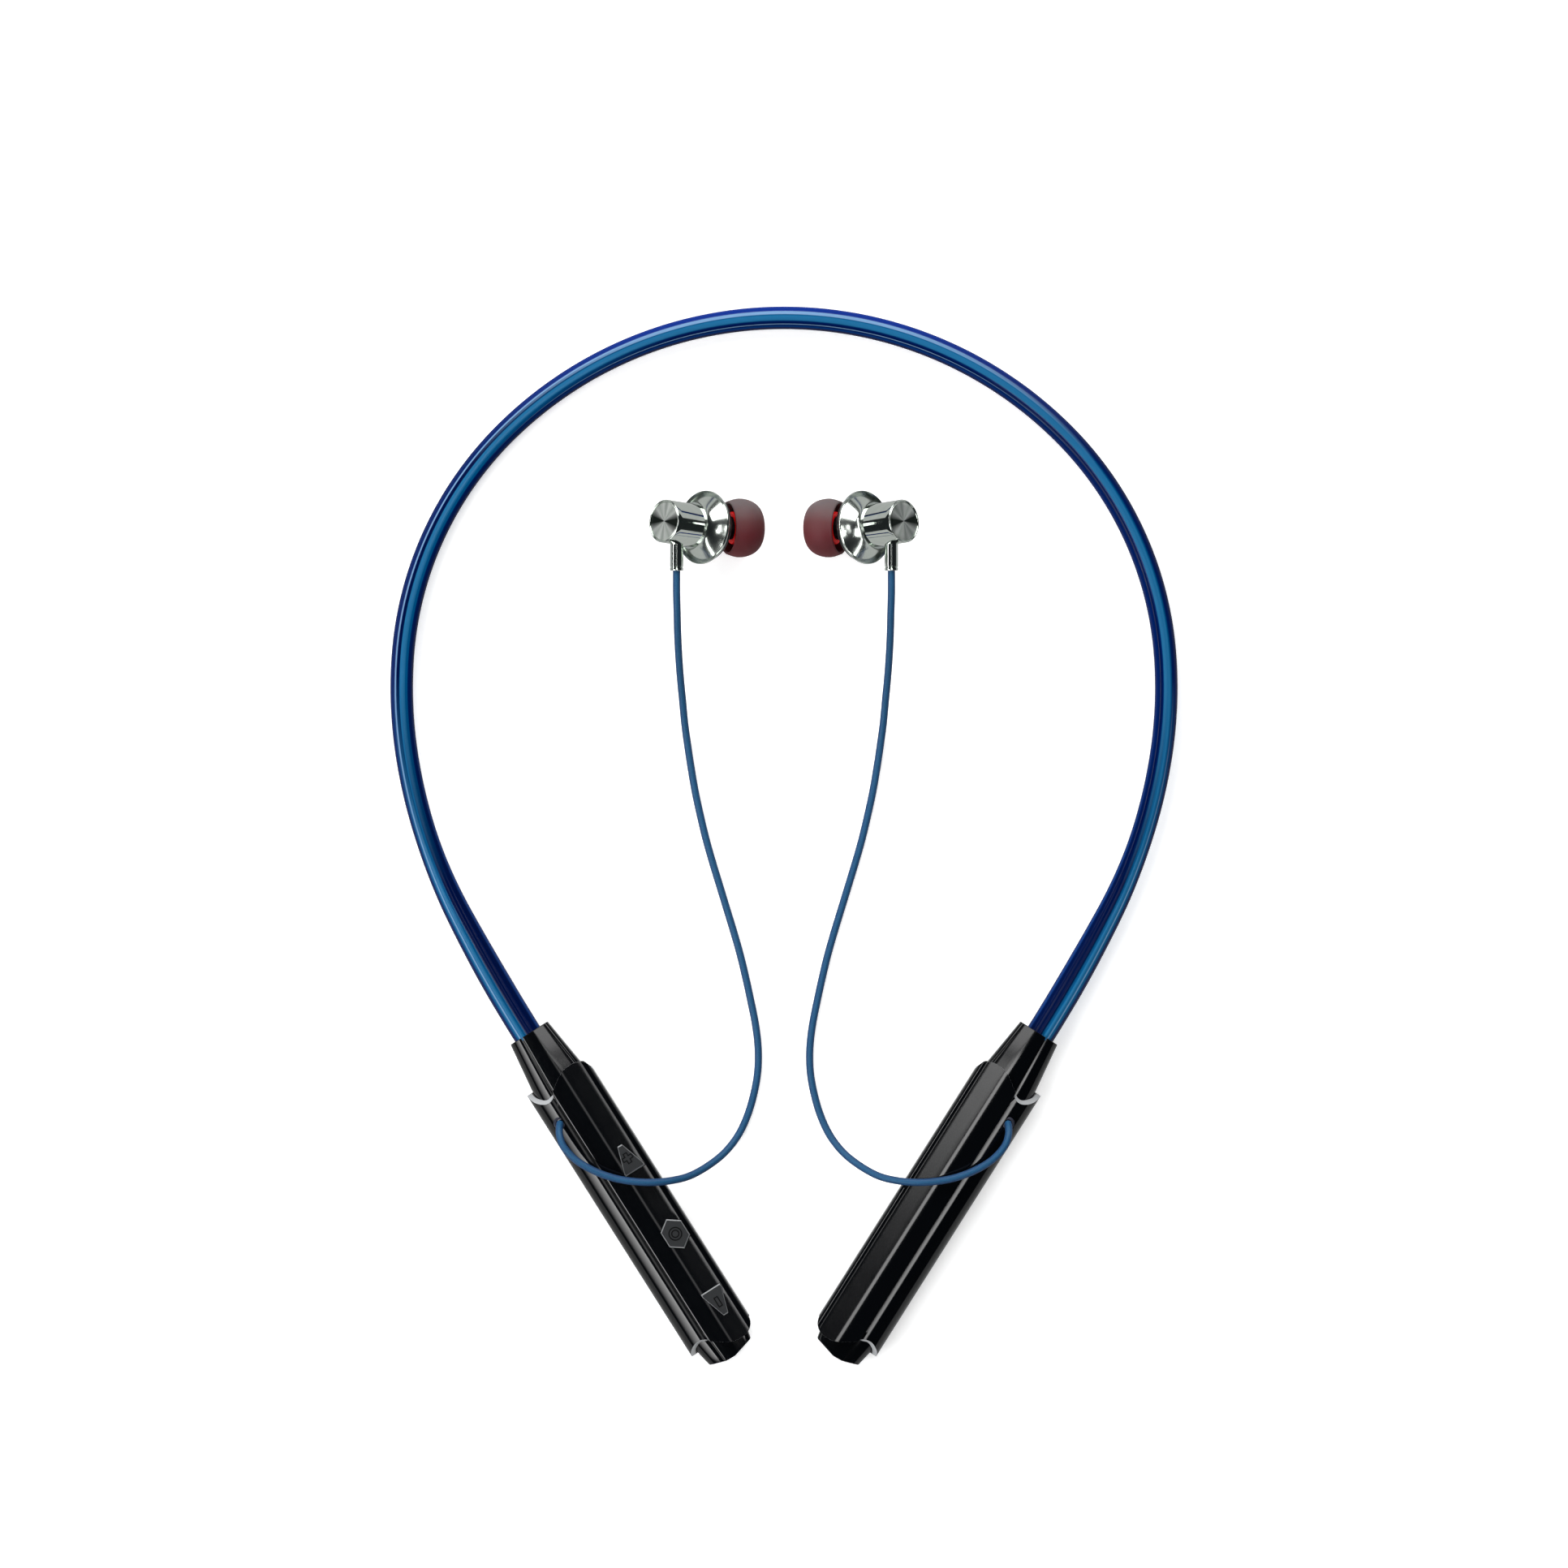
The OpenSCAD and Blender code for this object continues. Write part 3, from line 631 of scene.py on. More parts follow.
def make_cable(side):
    """One tube along the route, from the grommet to the stem."""
    sides = 16
    steps = 5
    route = smooth_route([Vector(p) for p in mirrored(CABLE_ROUTE, side)], steps)
    vertices = []
    around = []
    along = []
    travelled = 0
    for i, (point, across, up) in enumerate(tube_frames(route)):
        if i:
            travelled += (point - route[i - 1]).length
        for k in range(sides):
            angle = 2 * pi * k / sides
            vertices.append(point + CABLE_D / 2 * (cos(angle) * across + sin(angle) * up))
            around.append(k / sides)
            along.append(travelled / CABLE_D)
    faces = grid_faces(len(route), sides)
    faces.append(tuple(range(sides - 1, -1, -1)))
    faces.append(tuple(range(len(vertices) - sides, len(vertices))))
    piece = make_object(f"{side}_cable_jacket", vertices, faces, MATERIALS["cable"], sharp=60)
    set_attribute(piece, "around", around)
    set_attribute(piece, "along", along)
    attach(piece, f"{side}_arm")
    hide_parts(f"{side}_cable")


for side in SIDES:
    make_cable(side)


# ---- band ----

BAND_FACETS = 72
# The sleeve's grooves at shares of the way across, as (place, half width, depth).
GROOVES = [(0.22, 0.03, 0.05), (0.4, 0.025, 0.04), (0.68, 0.03, 0.05), (0.86, 0.03, 0.04)]
# The valley that opens towards the collar, in the same terms.
VALLEY_AT = 0.42
VALLEY_HALF_W = 0.07
VALLEY_DEPTH = 0.1
# The facet past the valley: its height as a share of the radius, and how far the top is pressed down to it.
FACET_LEVEL = 0.86
FACET_SHARE = 0.55


def turned(heading):
    """The direction across the band, from its outer to its inner edge."""
    return Vector((sin(heading), -cos(heading)))


def band_path(step=1.5):
    """Points of the left half's centre line as (place, heading), from the crown to inside the collar."""
    place = Vector((0, CROWN_Y))
    heading = 0
    out = []
    for radius, degrees in BAND_ARCS:
        angle = radians(degrees)
        count = ceil(radius * angle / step)
        for k in range(count):
            turn = angle * k / count
            out.append((place + radius * (turned(heading) - turned(heading + turn)), heading + turn))
        place = place + radius * (turned(heading) - turned(heading + angle))
        heading += angle
    ahead = Vector((-cos(heading), -sin(heading)))
    out.append((place, heading))
    out.append((place + BAND_INTO_COLLAR * ahead, heading))
    return out


def hollow(share, place, half_width, depth):
    """The depth of a rounded hollow at a share of the way across."""
    return depth * max(0, 1 - ((share - place) / half_width) ** 2)


def band_section(radius, flare):
    """The sleeve's outline as (across, up, share of the way across), outer edge first, anticlockwise.

    At the crown it is round with shallow grooves. Towards the collar it becomes a round lobe,
    a valley and a flat facet, like the pods."""
    out = []
    for k in range(BAND_FACETS):
        angle = 2 * pi * k / BAND_FACETS
        x = -cos(angle)
        z = sin(angle)
        share = (x + 1) / 2
        depth = flare * hollow(share, VALLEY_AT, VALLEY_HALF_W, VALLEY_DEPTH)
        for groove in GROOVES:
            depth += hollow(share, *groove)
        squash = 1
        if share > VALLEY_AT:
            facet = min(1, FACET_LEVEL / max(abs(z), 0.01))
            squash = mix(1, facet, FACET_SHARE * flare)
        out.append((x * radius, z * radius * squash * (1 - depth), share))
    return out


def make_band(side):
    """Half of the band's sleeve, from the crown to inside the collar, across the arm's flex joint."""
    path = band_path()
    mouth_y = path[-2][0].y
    slope = (POD_H / 2 - BAND_R) / (CROWN_Y - mouth_y)
    vertices = []
    across = []
    along = []
    travelled = 0
    total = sum((b[0] - a[0]).length for a, b in zip(path, path[1:]))
    for i, (place, heading) in enumerate(path):
        if i:
            travelled += (place - path[i - 1][0]).length
        flare = smooth_step((FLARE_FROM_Y - place.y) / FLARE_LENGTH)
        radius = mix(BAND_R, BAND_END_R, flare)
        inward = turned(heading)
        z = BAND_R + (CROWN_Y - place.y) * slope
        for x, up, share in band_section(radius, flare):
            point = place + x * inward
            vertices.append((point.x, point.y, z + up))
            across.append(share)
            along.append(travelled / total)
    faces = flip_faces(grid_faces(len(path), BAND_FACETS))
    faces.append(tuple(range(len(vertices) - 1, len(vertices) - BAND_FACETS - 1, -1)))
    piece = make_object(f"{side}_band_skin", mirrored(vertices, side), faces_for(faces, side),
                        band_material(side), sharp=50)
    set_attribute(piece, "across", across)
    set_attribute(piece, "along", along)
    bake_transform(piece)
    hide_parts(f"{side}_band_sleeve", "crown_sleeve")


for side in SIDES:
    make_band(side)


# ---- pods ----

def pod_matrix(side):
    """The pod's own frame: x towards the inner edge, y towards the band, z up."""
    place = Matrix.Translation((POD_END[0] * MM, POD_END[1] * MM, 0))
    return side_matrix(side) @ place @ Matrix.Rotation(POD_ANGLE, 4, "Z")


def on_pod(points, side):
    """Pod-frame millimetre points, carried to the row frame in millimetres."""
    matrix = pod_matrix(side)
    return [matrix @ (Vector(p) * MM) / MM for p in points]


# The section's round parts: the outer side's lobe, and the inner side's top corner and foot.
LOBE_R = 4.3
LOBE_X = LOBE_R - HALF_W
LOBE_Z = 4.4
CORNER_R = 1.4
FOOT_R = 2.5
# The shell stops and the tray begins at this angle round the foot.
SPLIT_DEG = -11

# From the lobe's top across the crease's little wall and the slope up to the flat face, as (x, z).
POD_CREST = [
    (-2.9, 8.655), (-2.52, 8.66), (-2.38, 9.3), (-2.28, 9.37), (-2.1, 9.41), (0.4, 9.85), (0.7, 9.9),
    (1.0, 9.94), (1.3, 9.97), (1.6, 9.99), (2.0, POD_H),
]

# Across the pod, the shell's end swings out into its tongue from one place over a distance.
TONGUE_FROM_X = -5
TONGUE_RISE = 8
# Round the lobe the end is cut slanting: it starts set back, and reaches further as the lobe drops.
CUT_FADE_FROM_X = -1.9
CUT_FADE = 0.8
CUT_DROP = 4.2
CUT_BACK = 1.1
BAND_END_SLANT = 0.9
FAR_END_SLANT = 0.55
# The end cap's last face comes to a shallow point.
CAP_POINT_X = -0.45
CAP_POINT_REACH = 1.1
CAP_SLOPE = 0.28


def pod_outline():
    """The pod's section from its outer side over the top to its inner side, as (x, z) above the split."""
    flat_from = POD_CREST[-1][0]
    corner_x = HALF_W - CORNER_R
    out = arc(LOBE_X, LOBE_Z, LOBE_R, 214, 101, 25)
    out += POD_CREST
    out += [(mix(flat_from, corner_x, k / 5), POD_H) for k in range(1, 6)]
    out += arc(corner_x, POD_H - CORNER_R, CORNER_R, 90, 0, 7)[1:]
    out += [(HALF_W, z) for z in (7, 5.5, 4)]
    out += arc(HALF_W - FOOT_R, FOOT_R, FOOT_R, 0, SPLIT_DEG, 5)
    return out


def closed_outline():
    """The whole way round the pod's section, with the flat underside."""
    under = arc(HALF_W - FOOT_R, FOOT_R, FOOT_R, SPLIT_DEG, -90, 8)[1:]
    under += [(1, 0), (-1, 0), (LOBE_X, LOBE_Z - LOBE_R)]
    under += arc(LOBE_X, LOBE_Z, LOBE_R, 268, 216, 7)[1:]
    return pod_outline() + under


def end_wave(x):
    """How far the shell's end reaches past its straight part, at a place across the pod."""
    corner = max(x - (HALF_W - TONGUE_R), 0)
    rounded = sqrt(max(TONGUE_R ** 2 - corner ** 2, 0)) - TONGUE_R
    return TONGUE_L * smooth_step((x - TONGUE_FROM_X) / TONGUE_RISE) + rounded


def end_cut(x, z, slant):
    """How far the shell's end reaches at a place of the section."""
    on_lobe = smooth_step((CUT_FADE_FROM_X - x) / CUT_FADE)
    drop = min(max(LOBE_Z + LOBE_R - z, 0), CUT_DROP)
    return end_wave(x) + on_lobe * slant * (drop - CUT_BACK)


def inset(outline, depth):
    """The outline moved inwards, along its own normals."""
    out = []
    last = len(outline) - 1
    for i, point in enumerate(outline):
        a = Vector(outline[max(i - 1, 0)])
        b = Vector(outline[min(i + 1, last)])
        run = (b - a).normalized()
        out.append((point[0] + run.y * depth, point[1] - run.x * depth))
    return out


def sheet_rim(rows, columns):
    """Faces that close a sheet of two skins: first the two cut ends, then the two long edges."""
    half = rows * columns
    last = half - columns
    ends = []
    for k in range(columns - 1):
        ends.append((k + 1, k, k + half, k + 1 + half))
        ends.append((last + k, last + k + 1, last + k + 1 + half, last + k + half))
    edges = []
    for i in range(rows - 1):
        a = i * columns
        b = a + columns - 1
        edges.append((a, a + columns, a + columns + half, a + half))
        edges.append((b + columns, b, b + half, b + columns + half))
    return ends, edges


def make_shell(side):
    """The glossy cover: a bent sheet one wall thick, whose cut ends swing out over the flat face."""
    outline = pod_outline()
    rows = 30
    columns = len(outline)
    vertices = []
    for skin in (outline, inset(outline, WALL)):
        for i in range(rows):
            for (at, _), (x, z) in zip(outline, skin):
                start = SHELL_START + end_cut(at, z, BAND_END_SLANT)
                stop = SHELL_START - SHELL_L - end_cut(at, z, FAR_END_SLANT)
                vertices.append((x, mix(start, stop, i / (rows - 1)), z))
    outer = grid_faces(rows, columns, closed=False)
    inner = [tuple(v + rows * columns for v in reversed(f)) for f in outer]
    ends, edges = sheet_rim(rows, columns)
    faces = flip_faces(outer + inner + ends + edges)
    piece = make_object(f"{side}_shell_cover", on_pod(vertices, side), faces_for(faces, side),
                        MATERIALS["pod"], sharp=38)
    # The cut ends are painted light grey, as a painted highlight along the rim.
    piece.data.materials.append(MATERIALS["cut_edge_highlight"])
    ends_from = len(outer) + len(inner)
    for polygon in piece.data.polygons[ends_from:ends_from + len(ends)]:
        polygon.material_index = 1
    add_bevel(piece, 0.12, angle=40, harden=False)
    cut_holes(piece, button_cutters() if side == "left" else [])
    piece.data.set_sharp_from_angle(angle=radians(38))
    weight_normals(piece)
    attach(piece, f"{side}_arm")
    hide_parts(f"{side}_shell")


def make_pod_end(node, side, stations, bevel, end_shape=None):
    """A solid through scaled copies of the pod's section at (y, x scale, z scale) stations.

    The end shape says how far the last station reaches on at a place across the pod."""
    outline = closed_outline()
    columns = len(outline)
    vertices = []
    for y, wide, tall in stations:
        vertices += [(x * wide, y, POD_H / 2 + (z - POD_H / 2) * tall) for x, z in outline]
    if end_shape:
        vertices[-columns:] = [(x, y + end_shape(x), z) for x, y, z in vertices[-columns:]]
    faces = grid_faces(len(stations), columns)
    faces.append(tuple(range(columns - 1, -1, -1)))
    faces.append(tuple(range(len(vertices) - columns, len(vertices))))
    if stations[0][0] > stations[-1][0]:
        faces = flip_faces(faces)
    piece = make_object(f"{side}_{node}_cover", on_pod(vertices, side), faces_for(faces, side),
                        MATERIALS["pod"], sharp=30)
    add_bevel(piece, bevel)
    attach(piece, f"{side}_arm")
    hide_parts(f"{side}_{node}")


def make_collar(side):
    """The collar tapers from under the shell's end to its mouth round the band."""
    stations = [(-4, 0.8, 0.78), (-1, 0.84, 0.83), (2.5, 0.8, 0.84), (COLLAR_L, 0.62, 0.68)]
    make_pod_end("collar", side, stations, 0.12)


def cap_point(x):
    """How far the end cap's last face reaches past its edge, at a place across the pod."""
    return CAP_SLOPE * abs(x - CAP_POINT_X) - CAP_POINT_REACH


def make_end_cap(side):
    """The cap at the pod's far end, which shows past the shell."""
    stations = [(-54.8, 0.8, 0.8), (-57.5, 0.83, 0.82), (-62.2, 0.7, 0.72)]
    make_pod_end("end_cap", side, stations, 0.15, cap_point)


def make_grommet(side):
    """A rubber ring round the cable where it leaves the pod."""
    matrix = pod_matrix(side) @ Matrix.Translation((GROMMET_AT[0] * MM, GROMMET_AT[1] * MM, 0))
    bore = CABLE_D / 2 + 0.02
    outer = 1.25
    lip = 0.2
    low = 6.4
    top = 8.6
    profile = [(bore, low), (outer, low), (outer, top - 2 * lip)]
    profile += arc(outer - lip, top - lip, lip, 0, 90, 4)
    profile += [(bore, top), (bore, low)]
    piece = lathe(f"{side}_grommet_ring", profile, MATERIALS["grommet"], matrix, 40)
    bake_mirror(piece)
    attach(piece, f"{side}_arm")
    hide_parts(f"{side}_cable_grommet")


# ---- buttons ----

KEY_TOP = POD_H + BUTTON_PROUD
KEY_FOOT = POD_H - 1.8
KEY_CHAMFER = (0.16, 0.12)
MARK_SINK = 0.02


def key_matrix(y):
    """A key's frame, in the middle of the key and level with the pod's."""
    return pod_matrix("left") @ Matrix.Translation((BUTTON_X * MM, y * MM, 0))


def triangle_points(grow=0.0):
    """A triangle with clipped corners, pointing to the band."""
    half = 2.2 + grow
    long = 2.9 + grow
    clip = 0.5
    return [(-half, -long), (half, -long), (half, -long + clip), (clip, long), (-clip, long),
            (-half, -long + clip)]


def hexagon_points(grow=0.0):
    """A hexagon that is longer along the pod than across it."""
    half = 2.35 + grow
    long = 3.35 + grow
    return [(0, long), (-half, long / 2), (-half, -long / 2), (0, -long), (half, -long / 2), (half, long / 2)]


def half_turned(outline):
    """The outline turned end for end."""
    return [(-x, -y) for x, y in outline]


def prism(name, outline, low, high, matrix, material, chamfer=(0, 0)):
    """A straight block on an anticlockwise outline, with its top edge cut by a chamfer of (width, height)."""
    width, height = chamfer
    count = len(outline)
    reach = min(max(x for x, _ in outline), max(y for _, y in outline))
    shrink = 1 - width / reach
    layers = [(low, 1), (high - height, 1)]
    if width:
        layers.append((high, shrink))
    vertices = [(x * scale, y * scale, z) for z, scale in layers for x, y in outline]
    top = len(vertices) - count
    faces = [tuple(range(count - 1, -1, -1)), tuple(range(top, top + count))]
    faces += grid_faces(len(layers), count)
    piece = make_object(name, vertices, faces, material, matrix, sharp=12)
    bake_mirror(piece)
    return piece


def box_points(width, height):
    """A rectangle about the middle."""
    x = width / 2
    y = height / 2
    return [(-x, -y), (x, -y), (x, y), (-x, y)]


def plus_points(arm, thick):
    """A plus sign about the middle."""
    a = arm / 2
    t = thick / 2
    return [(-t, -a), (t, -a), (t, -t), (a, -t), (a, t), (t, t),
            (t, a), (-t, a), (-t, t), (-a, t), (-a, -t), (-t, -t)]


def make_button(name, body, y, outline, layers):
    """A key with a fine chamfer painted lighter grey as a painted highlight, and the raised layers of its
    symbol, which ride with it.
    """
    matrix = key_matrix(y)
    key = prism(f"{name}_key_cap", outline, KEY_FOOT, KEY_TOP, matrix, MATERIALS["button"], KEY_CHAMFER)
    # The chamfer faces get the light grey painted highlight.
    key.data.materials.append(MATERIALS["key_edge_highlight"])
    for polygon in key.data.polygons[-len(outline):]:
        polygon.material_index = 1
    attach(key, body)
    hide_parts(name)
    for label, points, height, material in layers:
        low = KEY_TOP - MARK_SINK
        mark = prism(f"{name}_{label}", points, low, KEY_TOP + height, matrix, MATERIALS[material])
        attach(mark, body)


def make_ring_mark(name, body, y, radius):
    """A raised ring on a key."""
    half_w = 0.11
    inner = radius - half_w
    outer = radius + half_w
    low = KEY_TOP - MARK_SINK
    high = KEY_TOP + 0.06
    profile = [(outer, low), (outer, high), (inner, high), (inner, low), (outer, low)]
    mark = lathe(f"{name}_ring_{round(radius * 10)}", profile, MATERIALS["symbol"], key_matrix(y), 48)
    bake_mirror(mark)
    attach(mark, body)


def make_buttons():
    """Three keys; a symbol is a dark shape with a smaller one of the key's own grey on it."""
    plus_layers = [("plus_line", plus_points(2.3, 0.95), 0.03, "symbol"),
                   ("plus_face", plus_points(1.9, 0.5), 0.05, "button")]
    bar_layers = [("bar_line", box_points(0.95, 2.2), 0.03, "symbol"),
                  ("bar_face", box_points(0.5, 1.75), 0.05, "button")]
    make_button("plus_button", "plus_key", BUTTON_YS[0], triangle_points(), plus_layers)
    make_button("power_button", "power_key", BUTTON_YS[1], hexagon_points(), [])
    make_button("minus_button", "minus_key", BUTTON_YS[2], half_turned(triangle_points()), bar_layers)
    for radius in (0.7, 1.25):
        make_ring_mark("power_button", "power_key", BUTTON_YS[1], radius)


def button_cutters():
    """Blocks a little larger than the keys, for the shell's holes."""
    triangle = triangle_points(BUTTON_GAP)
    outlines = [triangle, hexagon_points(BUTTON_GAP), half_turned(triangle)]
    return [prism("cutter", outline, POD_H - 2 * WALL, POD_H + 1, key_matrix(y), MATERIALS["case"])
            for y, outline in zip(BUTTON_YS, outlines)]


make_buttons()
for side in SIDES:
    make_shell(side)
    make_collar(side)
    make_end_cap(side)
    make_grommet(side)


# ---- earbuds ----

def body_matrix(side):
    """The earbud's body frame: z from the end disc down to the rim."""
    turn = Matrix.Rotation(BODY_YAW, 4, "Z") @ Matrix.Rotation(BODY_TILT, 4, "Y")
    return side_matrix(side) @ Matrix.Translation(DISC_AT * MM) @ turn


def nozzle_matrix(side):
    """The nozzle's frame: z out along the nozzle from the middle of the rim."""
    return side_matrix(side) @ Matrix.Translation(RIM_AT * MM) @ Matrix.Rotation(NOZZLE_TILT, 4, "Y")


def earbud_piece(name, side, profile, material, matrix, node, body="earbud", segments=96, sharp=35,
                 own_frame=False):
    """A turned part of an earbud that stands for a CAD node, or for none."""
    piece = lathe(f"{side}_{name}", profile, MATERIALS[material], matrix, segments, sharp)
    if own_frame:
        unmirror(piece)
    else:
        bake_mirror(piece)
    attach(piece, f"{side}_{body}")
    if node:
        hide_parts(f"{side}_{node}")
    return piece


def make_barrel(side):
    """The barrel, with a rolled edge round the end disc."""
    edge = 0.16
    well_r = BARREL_R - 0.42
    bore = BARREL_R - 0.8
    profile = [(well_r, 0.6), (well_r, 0.12)]
    profile += arc(well_r + 0.21, edge, edge, 180, 270, 3)
    profile += arc(BARREL_R - edge, edge, edge, 270, 360, 4)
    profile += [(BARREL_R, 1.1), (BARREL_R, BARREL_L), (bore, BARREL_L), (bore, 0.6), (well_r, 0.6)]
    earbud_piece("barrel_sleeve", side, profile, "chrome", body_matrix(side), "barrel")


def make_end_disc(side):
    """The spun disc, a little below the barrel's edge, with grooves round its own axis."""
    corner = 0.16
    flat_r = BARREL_R - 0.6
    profile = [(0, 0.95), (flat_r + corner, 0.95), (flat_r + corner, 0.3)]
    profile += arc(flat_r, 0.3, corner, 0, -90, 4)
    profile += [(flat_r * k / 6, 0.3 - corner) for k in range(5, -1, -1)]
    earbud_piece("end_disc_face", side, profile, "spun", body_matrix(side), "end_disc",
                 segments=128, own_frame=True)


def bell_radius(t):
    """The bell's flare from the barrel to the rim."""
    return BARREL_R + (RIM_R - 0.35 - BARREL_R) * t ** 1.7


def make_bell(side):
    """The flared rear housing with its rolled rim, which starts with a small step up from the barrel."""
    start = 7.4
    length = RIM_S - start - 0.1
    step = 0.35
    wall = 0.8
    roll = 0.55
    profile = []
    for k in range(17):
        t = k / 16
        profile.append((bell_radius(t) + step * (1 - t), start + length * t))
    profile += arc(RIM_R - roll, RIM_S - 0.5, roll, -40, 150, 14)
    profile += [(bell_radius(k / 8) - wall, start + length * k / 8) for k in range(8, -1, -1)]
    profile.append(profile[0])
    earbud_piece("bell_housing", side, profile, "soft_chrome", body_matrix(side), "rear_housing",
                 segments=128, sharp=50)


def make_front(side):
    """The black front ring, which domes up to the nozzle, and the nozzle's neck."""
    ring_r = RIM_R - 0.7
    ring_h = 0.75
    edge = 0.4
    front = [(0, RIM_S), (ring_r, RIM_S), (ring_r, RIM_S + ring_h)]
    front += arc(ring_r - edge, RIM_S + ring_h, edge, 0, 60, 4)
    front += [(5.9, RIM_S + 1.55), (4.8, RIM_S + 2.15), (3.4, RIM_S + 2.5), (0, RIM_S + 2.7)]
    earbud_piece("front_cover", side, front, "nozzle", body_matrix(side), "front_housing",
                 sharp=40)

    bore = 1.7
    foot_r = NOZZLE_R + 0.5
    lip_r = NOZZLE_R + 0.04
    neck = [(bore, 1), (foot_r, 1), (foot_r, 2.9), (NOZZLE_R, 3.2), (NOZZLE_R, 4.6)]
    neck += [(lip_r, 4.7), (lip_r, 9.9)]
    neck += arc(lip_r - edge, 10, edge, 0, 90, 4)
    neck += [(bore, 10.4), (bore, 1)]
    earbud_piece("nozzle_neck", side, neck, "nozzle", nozzle_matrix(side), None, segments=64)


def make_stem(side):
    """Turned stem with a rolled mouth where the cable goes in."""
    top = STEM_AT.y - 3.6 - STEM_END_Y
    s = -SIDES[side]
    place = Matrix.Translation((STEM_AT.x * s * MM, STEM_END_Y * MM, STEM_AT.z * MM))
    matrix = place @ Matrix.Rotation(-pi / 2, 4, "X")
    bore = CABLE_D / 2 + 0.03
    mouth = 0.12
    groove_r = STEM_R - 0.1
    profile = [(bore, 0.4), (bore, 0.1), (STEM_R - mouth, 0)]
    profile += arc(STEM_R - mouth, mouth, mouth, -90, 0, 4)
    profile += [(STEM_R, 0.5), (groove_r, 0.6), (groove_r, 0.72), (STEM_R, 0.82), (STEM_R, top + 0.5),
                (0, top + 0.5), (0, 0.4), (bore, 0.4)]
    earbud_piece("stem_tube", side, profile, "chrome", matrix, "stem", segments=64)


def make_tip_core(side):
    """The ear tip's red core, round the nozzle."""
    outer = 3.2
    edge = 0.2
    bore = NOZZLE_R + 0.06
    low = TIP_BACK + 0.5
    high = TIP_FRONT - 1.6
    profile = [(bore, low), (outer - edge, low)]
    profile += arc(outer - edge, low + edge, edge, -90, 0, 4)
    profile += [(outer, high), (bore, high), (bore, low)]
    earbud_piece("tip_core_sleeve", side, profile, "core", nozzle_matrix(side), "tip_core",
                 "ear_tip", 64)


def dome_points(hole, reach, base, height):
    """A quarter of the umbrella's dome, from its widest ring up to its hole."""
    out = []
    for k in range(21):
        angle = radians(90 * k / 20)
        out.append((hole + (reach - hole) * cos(angle) ** 0.9, base + height * sin(angle)))
    return out


def make_tip_umbrella(side):
    """The ear tip's smoky umbrella, with a value across it for its painted light colour."""
    wall = 0.55
    widest = 2.2
    hole = 2.5
    base = TIP_BACK + widest
    dome = TIP_FRONT - base
    back_r = TIP_R - 0.5
    lip = arc(back_r - wall / 2, TIP_BACK, wall / 2, 180, 360, 6)
    lower = [(mix(back_r, TIP_R, sin(radians(90 * k / 8))), TIP_BACK + widest * k / 8) for k in range(1, 8)]
    outer = dome_points(hole, TIP_R, base, dome)
    inner = dome_points(hole, TIP_R - wall, base, dome - wall)
    profile = lip + lower + outer + [(hole, TIP_FRONT - 1.4)] + inner[::-1] + [lip[0]]
    piece = earbud_piece("tip_umbrella", side, profile, "skirt", nozzle_matrix(side), "tip_skirt",
                         "ear_tip", sharp=60)
    # The painted light runs across the tip along Y, from the dark red side to the lit grey-pink side.
    places = [(piece.matrix_world @ v.co).y / MM for v in piece.data.vertices]
    set_attribute(piece, "lit_side_tint", [0.5 + (y - RIM_AT.y) / (2 * TIP_R) for y in places])


def make_earbud(side):
    """All the turned pieces of one earbud."""
    make_barrel(side)
    make_end_disc(side)
    make_bell(side)
    make_front(side)
    make_stem(side)
    make_tip_core(side)
    make_tip_umbrella(side)


for side in SIDES:
    make_earbud(side)


# ---- floor and light ----

FLOOR_COLOUR = (0.97, 0.97, 0.97)
FLOOR_IN_GLOSS = (0.022, 0.026, 0.024)
FLOOR_GLOW = 0.45
OVERHEAD_Z = 2.6
CARD_FADE = 1.2


def make_floor():
    """Pale paper that glows a little, so that its shadows are faint; its own colour is dim in reflections."""
    n = Nodes("floor_paper")
    path = n.add("ShaderNodeLightPath")
    colour = n.mix_colour(path.outputs["Is Glossy Ray"], FLOOR_COLOUR, FLOOR_IN_GLOSS)
    n.link(colour, n.shader.inputs["Base Color"])
    n.set(Roughness=0.9, Specular_IOR_Level=0.1, Emission_Color=(1, 1, 1, 1), Emission_Strength=FLOOR_GLOW)
    n.bump(n.noise(500, 4), 0.02, 0.0001)
    reach = 3000
    corners = [(-reach, -reach, 0), (reach, -reach, 0), (reach, reach, 0), (-reach, reach, 0)]
    floor = make_object("floor", corners, [(0, 1, 2, 3)], n.material)


def add_light(name, place, target, size, brightness):
    """A rectangular light that faces the target, as bright to look at whatever its size."""
    data = bpy.data.lights.new(name, "AREA")
    data.shape = "RECTANGLE"
    data.size, data.size_y = size
    data.energy = brightness * pi * size[0] * size[1]
    light = bpy.data.objects.new(name, data)
    light.location = place
    aim = Vector(target) - Vector(place)
    light.rotation_euler = aim.to_track_quat("-Z", "Y").to_euler()
    bpy.context.scene.collection.objects.link(light)


def direction(azimuth, off_vertical):
    """The unit vector at an azimuth from +X and an angle from straight up, both in degrees."""
    round_z = radians(azimuth)
    tilt = radians(off_vertical)
    return Vector((sin(tilt) * cos(round_z), sin(tilt) * sin(round_z), cos(tilt)))


def add_softbox(name, azimuth, off_vertical, size, brightness, distance=1.5):
    """A light in a direction, in degrees from +X and from straight up; size is (around, up) in metres."""
    add_light(name, distance * direction(azimuth, off_vertical), (0, 0, 0), size, brightness)


def add_overhead(name, x, y, size, brightness):
    """A panel that faces straight down, for the level faces' own reflections."""
    add_light(name, (x, y, OVERHEAD_Z), (x, y, 0), size, brightness)


